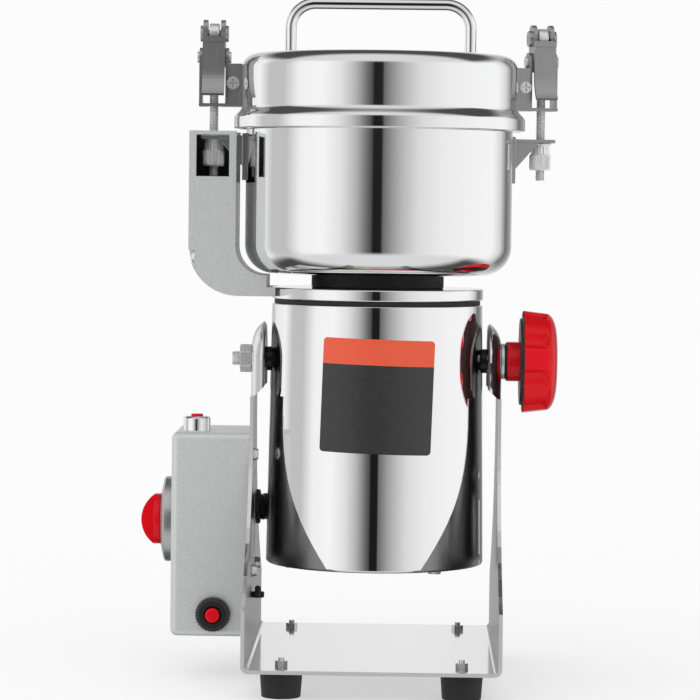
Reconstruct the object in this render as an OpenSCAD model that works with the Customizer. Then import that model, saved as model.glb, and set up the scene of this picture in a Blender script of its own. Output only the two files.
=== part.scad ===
// Electric grain mill: a tilting motor with a grinding bowl on top, hung in a sheet-steel stand.
// Lengths are millimetres. +Z is up, -Y is the front, and the floor is at Z = 0.

/* [Stand] */
// Outer width of the stand, across its two arms
stand_w = 132; // [124:1:150]
// Depth of the base plate, front to back
base_d = 190; // [170:1:220]
// Thickness of the stand's steel sheet
sheet_t = 2; // [1.5:0.5:3]
// Outer radius of the two bends
bend_r = 4; // [3:0.5:8]
// Height of the tilt axis above the floor
pivot_h = 169; // [166:1:190]
// Radius of the round end of each arm
arm_end_r = 20; // [17:1:24]
// Height above the floor at which an arm has its full end width
neck_h = 150; // [140:1:155]
// Height above the floor at which an arm starts to narrow
flare_h = 46; // [40:1:52]
// Profile radius of the curled rim round each arm's end
rim_r = 14.7; // [14:0.1:16]
// Width of the curled rim, measured from the arm's edge
rim_w = 12; // [8:0.5:13]

/* [Feet] */
// Height of a rubber foot
foot_h = 14; // [10:1:20]
// Diameter of a rubber foot at its top
foot_top_d = 22; // [18:1:28]
// Diameter of a rubber foot at the floor
foot_low_d = 20; // [16:1:26]
// Distance between the left and right feet
foot_span_w = 92; // [80:1:96]
// Distance between the front and back feet
foot_span_d = 150; // [120:1:160]

/* [Motor] */
// Radius of the motor housing at its top
housing_top_r = 55.7; // [54:0.1:57]
// Radius of the motor housing at its bottom
housing_low_r = 57.6; // [56:0.1:59]
// Height of the motor housing
housing_h = 137.2; // [130:0.2:145]
// Wall of the motor housing
housing_wall = 1.2; // [0.8:0.1:2]
// Height of the tilt axis above the housing's underside
pivot_up = 107.5; // [100:0.5:112]
// Height of the dark gasket on top of the housing
gasket_h = 2.6; // [2:0.1:4]
// Height of the polished ring above the gasket
ring_h = 6; // [5:0.5:9]
// Radius of the polished ring
ring_r = 56; // [55:0.5:57]
// Height of the dark collar under the bowl
collar_h = 7.2; // [6:0.2:10]
// Radius of the dark collar
collar_r = 36.5; // [30:0.5:45]

/* [Bowl and lid] */
// Outer radius of the grinding bowl
bowl_r = 70.5; // [68:0.5:72]
// Height of the grinding bowl
bowl_h = 85.5; // [82:0.5:95]
// Wall of the bowl
bowl_wall = 1.2; // [0.8:0.1:2]
// Outer radius of the bowl's bottom corner
bowl_corner_r = 15; // [10:1:20]
// Outer radius of the lid's side
lid_r = 73; // [72:0.5:74]
// Height of the lid above the bowl's rim
lid_rise = 30; // [28:0.5:36]
// Outer radius of the lid's top edge rounding
lid_edge_r = 8; // [5:0.5:12]
// Outer radius of the lid's skirt
skirt_r = 77; // [76:0.5:79]
// How far the skirt reaches below the bowl's rim
skirt_lap = 9.5; // [8:0.5:12]
// Diameter of the handle's rod
handle_d = 6; // [5:0.5:8]
// Distance between the handle's two legs, centre to centre
handle_span = 95; // [80:1:104]
// Height of the handle above the lid
handle_h = 30; // [26:1:40]
// Bend radius of the handle, to the middle of the rod
handle_bend_r = 13; // [8:1:16]

/* [Latches] */
// Distance from the bowl's axis to the latch rods
rod_out = 87.7; // [86.5:0.1:88.5]
// Diameter of a latch rod
rod_d = 5; // [4:0.5:5.5]
// Direction of the right latch, turned backwards from the +X axis, in degrees
right_azimuth = 12; // [0:1:20]
// Height of the lever pivot above the latch bracket's underside
pivot_rise = 26; // [24:0.5:28]
// Distance from the lever pivot to the rod's pin
lever_crank = 12.4; // [11.5:0.1:13]
// Outer width of a latch lever
lever_w = 11.7; // [11:0.1:12.5]
// How far a lever opens, in degrees
lever_open = 120; // [90:5:120]
// Diameter of the knurled nut
knurl_d = 11.5; // [10:0.5:12.5]

/* [Interlock arm] */
// Distance from the bowl's axis to the arm's outer face
arm_out = 99.2; // [98:0.2:102]
// Distance from the bowl's axis to the arm's inner face
arm_in = 74.5; // [73.5:0.1:75]
// Depth of the arm, front to back
arm_d = 43; // [42:0.5:46]
// Wall of the arm's casting
arm_wall = 2.7; // [2:0.1:3]
// Outer radius of the arm's lower corner
arm_corner_r = 26; // [20:1:30]

/* [Control box] */
// How far the control box stands out from the stand's arm
box_out = 41; // [34:1:46]
// Depth of the control box, front to back
box_d = 64; // [62:1:66]
// How far the control box reaches in front of the motor axis
box_front = 22; // [21:1:24]
// Height of the control box
box_h = 107.5; // [98:0.5:112]
// Height of the control box's underside above the floor
box_up = 23; // [20:0.5:30]
// Radius of the control box's outer edges
box_edge_r = 3.5; // [3:0.5:6]
// Wall of the control box's casting
box_wall = 2.5; // [2:0.1:3]
// Diameter of the timer's dial plate
dial_d = 45.6; // [42:0.2:47]
// Diameter of the timer knob's skirt
timer_skirt_d = 27; // [24:0.5:32]
// How far the timer knob stands out from its dial plate
timer_knob_h = 10.5; // [9:0.5:14]
// Diameter of the start button's metal barrel
barrel_d = 14.3; // [13:0.1:16]
// Diameter of the reset button's dark ring
reset_ring_d = 18.5; // [16:0.5:20]

/* [Clamp knob] */
// Diameter of the star knob that clamps the tilt
star_d = 54.3; // [50:0.1:60]
// Thickness of the star knob
star_h = 18.3; // [16:0.1:22]
// Diameter of the star knob's hub
star_hub_d = 21; // [18:0.5:24]
// Length of the star knob's hub, from washer to star
star_hub_h = 9.2; // [7:0.1:12]
// Number of grip flutes round the star knob
star_flutes = 8; // [6:1:10]
// Diameter of the pivot studs
stud_d = 8; // [6:0.5:10]

/* [Hidden] */

// A circle with more than 12 sides stands for a true round
$fn = 96;
// Sides of the spheres that round a cast corner
corner_fn = 24;
// Overrun of every cut past the face it opens
over = 1;
// Gap between faces that slide or turn on each other
slide_gap = 0.2;
// Radial gap of a pin or shaft that turns in its hole
turn_gap = 0.06;

// Places along the machine's height
base_z = foot_h;
housing_z = pivot_h - pivot_up;
gasket_z = housing_z + housing_h;
ring_z = gasket_z + gasket_h;
collar_z = ring_z + ring_h;
bowl_z = collar_z + collar_h;
bowl_top = bowl_z + bowl_h;
lid_z = bowl_top - skirt_lap;
lid_top = bowl_top + lid_rise;

// Places across the machine
arm_face = stand_w / 2;
arm_inside = arm_face - sheet_t;
box_face = arm_face + box_out;
washer_t = 1.8;
star_x = arm_face + washer_t + star_hub_h;
dial_t = 7.2;
timer_tip = box_face + dial_t + timer_knob_h;
star_tip = star_x + star_h;
// The motor axis stands beside the middle of the whole machine, which is the origin
axis_x = (timer_tip - star_tip) / 2;

module place() translate([axis_x, 0, 0]) children();

// Points of an arc about (cx, cy), from angle a0 to a1 in degrees
function arc(cx, cy, r, a0, a1, n = 6) =
    [for (i = [0:n]) let (a = a0 + (a1 - a0) * i / n) [cx + r * cos(a), cy + r * sin(a)]];

// Cylinders along X, Y and Z, from one place to another
module x_rod(x0, x1, r) translate([x0, 0, 0]) rotate([0, 90, 0]) cylinder(h = x1 - x0, r = r);
module y_rod(y0, y1, r) translate([0, y0, 0]) rotate([-90, 0, 0]) cylinder(h = y1 - y0, r = r);
module z_rod(z0, z1, r) translate([0, 0, z0]) cylinder(h = z1 - z0, r = r);

// A block between two corners
module block(low, high) translate(low) cube(high - low);

// An outline in Y and Z, drawn out along X from x0 to x1
module along_x(x0, x1) translate([x0, 0, 0]) rotate([90, 0, 90]) linear_extrude(x1 - x0) children();

// An outline in X and Z, drawn out along Y from y0 to y1
module along_y(y0, y1) translate([0, y1, 0]) rotate([90, 0, 0]) linear_extrude(y1 - y0) children();

// A hexagon nut along Z, standing on z = 0
module hex_nut(across, height, bore_r) {
    // A hexagon's corner radius over its width across flats
    corner_share = 1 / sqrt(3);
    difference() {
        cylinder(h = height, r = across * corner_share, $fn = 6);
        z_rod(-over, height + over, bore_r);
    }
}

// The top of a pan head over its widest radius
pan_top_share = 0.8;

// A pan-head screw with a cross recess, its head above z = 0 and its shank below
module pan_screw(head_r, head_h, shank_r, shank_l) {
    // The cross recess's reach, width and depth, as shares of the head
    recess_shares = [0.62, 0.2, 0.6];
    reach = head_r * recess_shares[0];
    slot = head_r * recess_shares[1];
    depth = head_h * recess_shares[2];
    difference() {
        union() {
            cylinder(h = head_h, r1 = head_r, r2 = head_r * pan_top_share);
            z_rod(-shank_l, 0, shank_r);
        }
        for (turn = [0, 90]) rotate([0, 0, turn])
            block([-reach, -slot / 2, head_h - depth], [reach, slot / 2, head_h + over]);
    }
}

// Stand

// Number of steps in the curve of an arm's edge
arm_steps = 14;
// Exponent of the arm's edge curve
flare_share = 2.5;
// The flat middle of an arm's end, inside its curled rim
end_flat_r = arm_end_r - rim_w;
// The curled rim's arc, in degrees
rim_turn = asin(rim_w / rim_r);

// Slot and holes down the middle of each arm
arm_slot_w = 6;
arm_slot_low = 67.6;
arm_slot_high = 92.5;
arm_hole_d = 5;
arm_hole_h = 60.5;
arm_dot_d = 4.5;
arm_dot_h = 108;

function arm_half_d(z) = z <= flare_h ? base_d / 2
    : arm_end_r + (base_d / 2 - arm_end_r) * pow((neck_h - z) / (neck_h - flare_h), flare_share);

// Side view of the arms and the base, up to the neck
module stand_outline() {
    heights = [for (i = [0:arm_steps]) flare_h + (neck_h - flare_h) * i / arm_steps];
    polygon(concat(
        [[-base_d / 2, base_z - over], [base_d / 2, base_z - over]],
        [for (z = heights) [arm_half_d(z), z]],
        [for (i = [0:arm_steps]) let (z = heights[arm_steps - i]) [-arm_half_d(z), z]]
    ));
}

// Front view of the bent sheet, up to the neck
module stand_section() {
    low = base_z + bend_r;
    polygon(concat(
        [[-arm_face, neck_h]],
        arc(-arm_face + bend_r, low, bend_r, 180, 270),
        arc(arm_face - bend_r, low, bend_r, 270, 360),
        [[arm_face, neck_h], [arm_inside, neck_h]],
        arc(arm_face - bend_r, low, bend_r - sheet_t, 360, 270),
        arc(-arm_face + bend_r, low, bend_r - sheet_t, 270, 180),
        [[-arm_inside, neck_h]]
    ));
}

// Section of an arm's end, from its middle to its curled edge, in (distance, X)
module rim_section() {
    centre = arm_face - rim_r;
    polygon(concat(
        [[0, arm_inside], [0, arm_face]],
        arc(end_flat_r, centre, rim_r, 90, 90 - rim_turn, 8),
        arc(end_flat_r, centre, rim_r - sheet_t, 90 - rim_turn, 90, 8)
    ));
}

// Front view of what is cut off the channel's lower end, so that its rims start at a slant
module rim_slant() {
    start = arm_inside - slide_gap;
    polygon([[start, neck_h - over], [start, neck_h], [start - rim_r, neck_h + rim_r],
             [start - rim_r, neck_h - over]]);
}

// The right arm's end: a straight channel from the neck up, then a half dome round the pivot
module arm_end() {
    difference() {
        translate([0, 0, neck_h]) linear_extrude(pivot_h - neck_h)
            for (side = [0, 1]) mirror([0, side]) rotate(-90) rim_section();
        along_y(-arm_end_r - over, arm_end_r + over) rim_slant();
    }
    translate([0, 0, pivot_h]) rotate([0, 90, 0]) rotate([0, 0, 90])
        rotate_extrude(angle = 180) rim_section();
}

// What is cut from the right arm
module arm_cuts() {
    in = arm_inside - over;
    out = arm_face + over;
    translate([0, 0, pivot_h]) x_rod(in, out, stud_d / 2 + turn_gap);
    along_x(in, out) polygon(concat(
        arc(0, arm_slot_high, arm_slot_w / 2, 0, 180, 12),
        arc(0, arm_slot_low, arm_slot_w / 2, 180, 360, 12)
    ));
    translate([0, 0, arm_hole_h]) x_rod(in, out, arm_hole_d / 2);
    translate([0, 0, arm_dot_h]) x_rod(in, out, arm_dot_d / 2);
}

module at_feet() {
    for (x = [-1, 1], y = [-1, 1])
        translate([x * foot_span_w / 2, y * foot_span_d / 2, 0]) children();
}

module yoke() color("gainsboro") place() difference() {
    union() {
        intersection() {
            along_y(-base_d / 2, base_d / 2) stand_section();
            along_x(-arm_face, arm_face) stand_outline();
        }
        for (side = [0, 1]) mirror([side, 0, 0]) arm_end();
    }
    for (side = [0, 1]) mirror([side, 0, 0]) arm_cuts();
    at_feet() z_rod(base_z - over, base_z + sheet_t + over, foot_screw_d / 2);
    translate([0, conduit_back, conduit_h]) x_rod(-arm_face - over, -arm_inside + over, gland_thread_d / 2);
    at_box_screws() x_rod(-arm_face - over, -arm_inside + over, box_screw_d / 2);
}

// Feet

foot_screw_d = 3;
foot_screw_l = 12;
foot_screw_head_d = 8;
foot_screw_head_h = 3;
foot_nut_af = 5.5;
foot_nut_h = 2.4;
// How deep a foot screw's head sits above the floor
foot_recess = 5;

module rubber_feet() color("#1c1c1c") place() at_feet() difference() {
    cylinder(h = foot_h, r1 = foot_low_d / 2, r2 = foot_top_d / 2);
    z_rod(-over, foot_recess + foot_screw_head_h, foot_screw_head_d / 2);
    z_rod(0, foot_h + over, foot_screw_d / 2);
}

// Four screws up through the feet and the base, each with its nut
module foot_bolts() color("silver") place() at_feet() {
    union() {
        z_rod(foot_recess, foot_recess + foot_screw_head_h, foot_screw_head_d / 2);
        z_rod(foot_recess, foot_recess + foot_screw_head_h + foot_screw_l, foot_screw_d / 2);
    }
    translate([0, 0, base_z + sheet_t]) hex_nut(foot_nut_af, foot_nut_h, foot_screw_d / 2);
}

// Control box

box_back = box_d - box_front;
box_middle = box_back - box_d / 2;
box_top = box_up + box_h;
plate_t = 2;
// Places of the screws that hold the box to the left arm, along Y
box_screw_front = -14;
box_screw_back = 24;
box_screw_d = 4;
box_screw_head_d = 7;
box_screw_head_h = 2.4;
box_screw_l = 16;
// The bosses inside the shell that take the box screws
box_boss_d = 9;
// How far the dial's middle lies below the box's top
dial_drop = 48.5;
dial_h = box_top - dial_drop;
// How far the low box screws lie below the dial's middle, and the high one below the box's top
box_screw_drop = 24.5;
box_screw_in = 11.5;
box_screw_low = dial_h - box_screw_drop;
box_screw_high = box_top - box_screw_in;
dial_rim_t = 5.4;
timer_shaft_d = 6;
timer_case = [22, 38, 38];
timer_grip_w = 9;
timer_skirt_h = 3.2;
start_out = 29;
start_back = 0;
barrel_h = 7.4;
barrel_nut_h = 3;
barrel_nut_d = 17;
barrel_thread_l = 9;
start_cap_d = 6.4;
start_cap_h = 1.3;
start_travel = 1;
switch_case = [14, 14, 16];
reset_out = 18.3;
reset_h = 35;
reset_ring_h = 3;
reset_cap_d = 7.6;
reset_cap_h = 4.4;
reset_travel = 1.5;
breaker_case = [14, 22, 16];
breaker_thread_d = 11;
terminal_case = [12, 26, 10];
terminal_h = 50;
terminal_back = 5;
mains_bore_d = 7.2;
mains_gland_d = 15;
mains_gland_l = 12;
mains_gland_flange_d = 19;
mains_gland_flange_t = 2.5;
mains_h = 44;
mains_out = 20;
// Height of the wiring conduit's hole and its distance from the inside of the box's back
conduit_d = 14.5;
conduit_h = 87.5;
gland_thread_d = 16.3;
conduit_inset = 3;
conduit_back = box_back - box_wall - conduit_inset - gland_thread_d / 2;

// Centres of the three screws that hold the box to the left arm
module at_box_screws() {
    for (p = [
        [box_screw_front, box_screw_low], [box_screw_back, box_screw_low],
        [box_screw_front, box_screw_high]
    ]) translate([0, p[0], p[1]]) children();
}

// A block with rounded outer edges on its left side; its right side is flat
module cast_block(low, high, edge_r) {
    hull() for (y = [low[1] + edge_r, high[1] - edge_r], z = [low[2] + edge_r, high[2] - edge_r]) {
        translate([low[0] + edge_r, y, z]) sphere(r = edge_r, $fn = corner_fn);
        translate([high[0] - edge_r / 2, y, z]) rotate([0, 90, 0])
            cylinder(h = edge_r / 2, r = edge_r, $fn = corner_fn);
    }
}

module control_box_shell() color("silver") place() difference() {
    cast_block([-box_face, -box_front, box_up], [-arm_face, box_back, box_top], box_edge_r);
    difference() {
        block([-box_face + box_wall, -box_front + box_wall, box_up + box_wall],
              [-arm_face + over, box_back - box_wall, box_top - box_wall]);
        at_box_screws() x_rod(-box_face, -arm_face - plate_t, box_boss_d / 2);
    }
    // Blind holes in the bosses
    at_box_screws() x_rod(-box_face + 2 * box_wall, -arm_face + over, box_screw_d / 2);
    at_dial() x_rod(-box_face - over, -box_face + box_wall + over, timer_shaft_d / 2 + slide_gap);
    at_start() z_rod(-box_wall - over, over, barrel_d / 2);
    at_reset() y_rod(-over, box_wall + over, breaker_thread_d / 2);
    translate([-arm_face - mains_out, 0, mains_h])
        y_rod(box_back - box_wall - over, box_back + over, mains_gland_d / 2);
}

module control_box_backplate() color("gray") place() difference() {
    block([-arm_face - plate_t, -box_front + box_wall + slide_gap, box_up + box_wall + slide_gap],
          [-arm_face, box_back - box_wall - slide_gap, box_top - box_wall - slide_gap]);
    at_box_screws() x_rod(-box_face, over, box_screw_d / 2);
    translate([0, conduit_back, conduit_h]) x_rod(-box_face, over, gland_thread_d / 2);
}

module box_screws() color("silver") place() at_box_screws()
    translate([-arm_inside, 0, 0]) rotate([0, 90, 0])
        pan_screw(box_screw_head_d / 2, box_screw_head_h, box_screw_d / 2, box_screw_l);

// The bevel round the dial, the barrel, the start button and the reset ring
rim_bevel = 1;

module at_dial() translate([0, box_middle, dial_h]) children();

// A shallow cone that rises from its rim to the knob's skirt
module timer_dial() color("whitesmoke") place() at_dial()
    translate([-box_face, 0, 0]) rotate([0, -90, 0]) rotate_extrude() polygon([
        [timer_shaft_d / 2 + slide_gap, 0], [dial_d / 2, 0], [dial_d / 2, dial_rim_t - rim_bevel],
        [dial_d / 2 - rim_bevel, dial_rim_t], [timer_skirt_d / 2, dial_t],
        [timer_shaft_d / 2 + slide_gap, dial_t]
    ]);

module timer_unit() color("dimgray") place() at_dial() {
    front = -box_face + box_wall;
    block([front, -timer_case[1] / 2, -timer_case[2] / 2],
          [front + timer_case[0], timer_case[1] / 2, timer_case[2] / 2]);
}

// Red knob with a round skirt, an upright grip with a rounded outer edge, and its own shaft
module timer_knob() color("crimson") place() at_dial() {
    base = -box_face - dial_t - slide_gap;
    // The grip's edge is an arc that spans the skirt
    rise = timer_knob_h - timer_skirt_h;
    grip_r = (timer_skirt_d * timer_skirt_d / 4 + rise * rise) / (2 * rise);
    x_rod(base - timer_skirt_h, base, timer_skirt_d / 2);
    intersection() {
        translate([-timer_tip + grip_r, 0, 0]) y_rod(-timer_grip_w / 2, timer_grip_w / 2, grip_r);
        x_rod(-timer_tip - over, base - timer_skirt_h / 2, timer_skirt_d / 2);
    }
    x_rod(base - timer_skirt_h / 2, -box_face + box_wall - slide_gap, timer_shaft_d / 2);
}

module at_start() translate([-arm_face - start_out, start_back, box_top]) children();

module start_barrel() color("silver") place() at_start() difference() {
    union() {
        z_rod(-barrel_thread_l, barrel_h - rim_bevel, barrel_d / 2);
        translate([0, 0, barrel_h - rim_bevel])
            cylinder(h = rim_bevel, r1 = barrel_d / 2, r2 = barrel_d / 2 - rim_bevel);
        z_rod(-box_wall - barrel_nut_h, -box_wall, barrel_nut_d / 2);
    }
    z_rod(-barrel_thread_l - over, barrel_h + over, start_cap_d / 2 + turn_gap);
}

module start_switch() color("#202020") place() at_start()
    translate([0, 0, -barrel_thread_l - switch_case[2]])
        block([-switch_case[0] / 2, -switch_case[1] / 2, 0],
              [switch_case[0] / 2, switch_case[1] / 2, switch_case[2]]);

// The button stands clear of the switch by its travel
module start_button() color("crimson") place() at_start() union() {
    z_rod(-barrel_thread_l + start_travel + slide_gap,
          barrel_h + start_cap_h - rim_bevel / 2, start_cap_d / 2);
    translate([0, 0, barrel_h + start_cap_h - rim_bevel / 2])
        cylinder(h = rim_bevel / 2, r1 = start_cap_d / 2, r2 = start_cap_d / 2 - rim_bevel / 2);
}

// Y grows into the box from its front face
module at_reset() translate([-arm_face - reset_out, -box_front, reset_h]) children();

module reset_ring() color("#1c1c1c") place() at_reset() difference() {
    union() {
        y_rod(-reset_ring_h, 0, reset_ring_d / 2);
        translate([0, -reset_ring_h - rim_bevel, 0]) rotate([-90, 0, 0])
            cylinder(h = rim_bevel, r1 = reset_ring_d / 2 - 2 * rim_bevel, r2 = reset_ring_d / 2);
        y_rod(0, box_wall + slide_gap, breaker_thread_d / 2);
    }
    y_rod(-reset_ring_h - rim_bevel - over, box_wall + over, reset_cap_d / 2 + turn_gap);
}

module reset_breaker() color("#303030") place() at_reset() translate([0, box_wall + slide_gap, 0])
    block([-breaker_case[0] / 2, 0, -breaker_case[2] / 2],
          [breaker_case[0] / 2, breaker_case[1], breaker_case[2] / 2]);

module reset_button() color("crimson") place() at_reset()
    y_rod(-reset_ring_h - reset_cap_h, box_wall - reset_travel, reset_cap_d / 2);

module terminal_block() color("white") place()
    block([-arm_face - plate_t - terminal_case[0], terminal_back - terminal_case[1] / 2, terminal_h],
          [-arm_face - plate_t, terminal_back + terminal_case[1] / 2, terminal_h + terminal_case[2]]);

// Bushing in the back of the box, where the mains cord goes in
module mains_gland() color("#1c1c1c") place()
    translate([-arm_face - mains_out, box_back, mains_h]) difference() {
        union() {
            y_rod(-box_wall, mains_gland_l, mains_gland_d / 2);
            y_rod(0, mains_gland_flange_t, mains_gland_flange_d / 2);
            y_rod(-box_wall - mains_gland_flange_t, -box_wall, mains_gland_flange_d / 2);
        }
        y_rod(-box_wall - mains_gland_flange_t - over, mains_gland_l + over, mains_bore_d / 2);
    }

// Motor, which tilts in the stand

housing_edge_r = 1.5;
boss_d = 12.8;
// How far a pivot boss reaches into the housing
boss_in = 6;
stud_out = 10.5;
stud_nut_af = 13;
stud_nut_h = 6.2;
plate_film_t = 0.3;
// Adhesive gap between the plate and the housing
plate_gap = 0.1;
plate_w = 57.4;
plate_h = 59;
plate_low = 123;
plate_corner_r = 2;
plate_tilt = 1.7;
plate_right = 1;
pad_ring_r = 45;
pad_screw_d = 4;
pad_head_d = 8;
pad_head_h = 2.4;
pad_angles = [-45, 75, 195];
pad_boss_h = 6;
ring_hub_d = 40;
ring_hub_h = 12;
gasket_w = 7;
bearing_top_d = 32;
bearing_top_h = 10;
bearing_low_d = 22;
bearing_low_h = 7;
bearing_seat_w = 3;
shaft_d = 12;
shaft_low_d = 8;
shaft_hole_d = 15;
stator_low = 95;
stator_high = 149;
air_gap = 0.8;
armature_r = 30;
coil_r = 48;
coil_w = 13;
coil_h = 9;
commutator_r = 14;
commutator_h = 14;
brush_h = 80;
brush_w = 6;
brush_l = 15;
holder_w = 10;
fan_low = 165;
fan_r = 43;
fan_disc_t = 2.5;
fan_vane_h = 10;
fan_vane_t = 1.5;
fan_vanes = 9;
fan_hub_r = 12;

housing_wide_z = housing_z + housing_edge_r;
function housing_r(z) =
    housing_low_r + (housing_top_r - housing_low_r) * (z - housing_wide_z) / (gasket_z - housing_wide_z);
housing_floor = housing_z + housing_wall;

module at_pads() {
    for (turn = pad_angles) rotate([0, 0, turn]) translate([pad_ring_r, 0, 0]) children();
}

module motor_housing() color("silver") place() difference() {
    union() {
        rotate_extrude() polygon(concat(
            [[0, housing_z]],
            arc(housing_low_r - housing_edge_r, housing_wide_z, housing_edge_r, 270, 360),
            [[housing_top_r, gasket_z], [housing_top_r - housing_wall, gasket_z]],
            arc(housing_low_r - housing_edge_r, housing_wide_z, housing_edge_r - housing_wall, 360, 270),
            [[0, housing_floor]]
        ));
        z_rod(housing_floor, housing_floor + bearing_low_h, bearing_low_d / 2 + bearing_seat_w);
        at_pads() z_rod(housing_floor, housing_floor + pad_boss_h, pad_head_d / 2);
    }
    z_rod(housing_floor, housing_floor + bearing_low_h + over, bearing_low_d / 2);
    at_pads() z_rod(housing_z - over, housing_floor + pad_boss_h + over, pad_screw_d / 2);
    translate([0, 0, pivot_h]) x_rod(-housing_low_r - over, housing_low_r + over, boss_d / 2);
    at_housing_entry() z_rod(-entry_in, entry_in, gland_thread_d / 2);
}

module housing_screws() color("dimgray") place() at_pads() translate([0, 0, housing_z]) rotate([180, 0, 0])
    pan_screw(pad_head_d / 2, pad_head_h, pad_screw_d / 2, housing_wall + pad_boss_h);

module housing_gasket() color("#1c1c1c") place() difference() {
    z_rod(gasket_z, ring_z, housing_top_r - housing_wall);
    z_rod(gasket_z - over, ring_z + over, housing_top_r - housing_wall - gasket_w);
}

module motor_top_ring() color("silver") place() difference() {
    union() {
        z_rod(ring_z, collar_z, ring_r);
        z_rod(ring_z - ring_hub_h, ring_z, ring_hub_d / 2);
    }
    z_rod(ring_z - ring_hub_h - over, ring_z - ring_hub_h + bearing_top_h, bearing_top_d / 2);
    z_rod(ring_z - ring_hub_h, collar_z + over, shaft_hole_d / 2);
}

module bowl_collar() color("#1c1c1c") place() difference() {
    z_rod(collar_z, bowl_z, collar_r);
    z_rod(collar_z - over, bowl_z + over, shaft_hole_d / 2);
}

// A rectangle with round corners, centred
module round_rectangle(w, h, r) {
    polygon(concat(
        arc(w / 2 - r, h / 2 - r, r, 0, 90), arc(-w / 2 + r, h / 2 - r, r, 90, 180),
        arc(-w / 2 + r, -h / 2 + r, r, 180, 270), arc(w / 2 - r, -h / 2 + r, r, 270, 360)
    ));
}

// Bare plate on the front of the housing
module rating_plate() color("#303030") place() intersection() {
    rotate_extrude() translate([plate_gap, 0]) polygon([
        [housing_low_r, housing_wide_z], [housing_low_r + plate_film_t, housing_wide_z],
        [housing_top_r + plate_film_t, gasket_z], [housing_top_r, gasket_z]
    ]);
    translate([plate_right, 0, plate_low + plate_h / 2]) rotate([90, 0, 0]) rotate([0, 0, -plate_tilt])
        linear_extrude(housing_low_r + over) round_rectangle(plate_w, plate_h, plate_corner_r);
}

// One boss each side, screwed into the housing and bored for its stud
module pivot_bosses() color("#2c2c2c") place() translate([0, 0, pivot_h])
    for (side = [0, 1]) mirror([side, 0, 0]) difference() {
        x_rod(housing_top_r - boss_in, arm_inside - slide_gap, boss_d / 2);
        x_rod(0, arm_face, stud_d / 2 + turn_gap);
    }

module pivot_stud_left() color("silver") place() translate([0, 0, pivot_h])
    x_rod(-arm_face - stud_out, -housing_top_r + boss_in, stud_d / 2);

module pivot_nut_left() color("silver") place() translate([-arm_face - slide_gap, 0, pivot_h])
    rotate([0, -90, 0]) hex_nut(stud_nut_af, stud_nut_h, stud_d / 2);

module stator_core() color("gray") place() difference() {
    z_rod(stator_low, stator_high, housing_r(stator_high) - housing_wall - slide_gap);
    z_rod(stator_low - over, stator_high + over, armature_r + air_gap);
}

// Winding heads above and below the core
module stator_coils() color("peru") place() for (low = [stator_low - coil_h, stator_high]) difference() {
    z_rod(low, low + coil_h, coil_r);
    z_rod(low - over, low + coil_h + over, coil_r - coil_w);
}

module bearing(low, h, d, bore_d) difference() {
    z_rod(low, low + h, d / 2);
    z_rod(low - over, low + h + over, bore_d / 2 + turn_gap);
}

module bearings() color("silver") place() {
    bearing(ring_z - ring_hub_h, bearing_top_h, bearing_top_d, shaft_d);
    bearing(housing_floor, bearing_low_h, bearing_low_d, shaft_low_d);
}

module at_brushes() {
    for (side = [0, 1]) mirror([0, side, 0]) translate([0, 0, brush_h]) children();
}

// Tubes from the housing wall to the brushes
module brush_holders() color("#2c2c2c") place() at_brushes() difference() {
    block([-holder_w / 2, commutator_r + brush_l / 2, -holder_w / 2],
          [holder_w / 2, housing_r(brush_h) - housing_wall - 2 * slide_gap, holder_w / 2]);
    block([-brush_w / 2, 0, -brush_w / 2], [brush_w / 2, commutator_r + 2 * brush_l, brush_w / 2]);
}

module carbon_brushes() color("#404040") place() at_brushes()
    block([-brush_w / 2, commutator_r + slide_gap, -brush_w / 2],
          [brush_w / 2, commutator_r + brush_l, brush_w / 2]);

// Rotor, which turns in the motor

blade_up = 6;
blade_r = 58;
blade_w = 17;
blade_t = 2;
blade_step = 12;
blade_upper_r = 50;
blade_hub_d = 20;
blade_thread_d = 8;
blade_nut_af = 13;
blade_nut_h = 7;
// A blade's outline, as shares of its reach and its width
blade_shares = [[0.55, -0.5], [0.93, -0.38], [1, -0.05], [0.9, 0.2], [0.5, 0.5]];

shaft_foot = housing_floor + slide_gap;
shaft_shoulder = housing_floor + bearing_low_h + slide_gap;
blade_low = bowl_z + blade_up;
blade_top = blade_low + blade_step + blade_t;

module rotor_shaft() color("silver") place() {
    z_rod(shaft_foot, shaft_shoulder, shaft_low_d / 2);
    z_rod(shaft_shoulder, blade_top, shaft_d / 2);
    z_rod(blade_top, blade_top + blade_nut_h + over, blade_thread_d / 2);
}

// Laminated core, and the commutator below it
module armature() color("peru") place() {
    difference() {
        z_rod(stator_low, stator_high, armature_r);
        z_rod(stator_low - over, stator_high + over, shaft_d / 2);
    }
    difference() {
        z_rod(brush_h - commutator_h / 2, brush_h + commutator_h / 2, commutator_r);
        z_rod(brush_h - commutator_h, brush_h + commutator_h, shaft_d / 2);
    }
}

module cooling_fan() color("#d8d8d0") place() difference() {
    union() {
        z_rod(fan_low, fan_low + fan_disc_t, fan_r);
        z_rod(fan_low, fan_low + fan_disc_t + fan_vane_h, fan_hub_r);
        for (i = [0:fan_vanes - 1]) rotate([0, 0, 360 * i / fan_vanes])
            block([fan_hub_r - over, -fan_vane_t / 2, fan_low],
                  [fan_r, fan_vane_t / 2, fan_low + fan_disc_t + fan_vane_h]);
    }
    z_rod(fan_low - over, fan_low + fan_disc_t + fan_vane_h + over, shaft_d / 2);
}

module blade(reach) difference() {
    linear_extrude(blade_t) polygon(concat(
        [for (p = blade_shares) [reach * p[0], blade_w * p[1]]],
        [for (p = blade_shares) [-reach * p[0], -blade_w * p[1]]]
    ));
    z_rod(-over, blade_t + over, shaft_d / 2);
}

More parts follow.
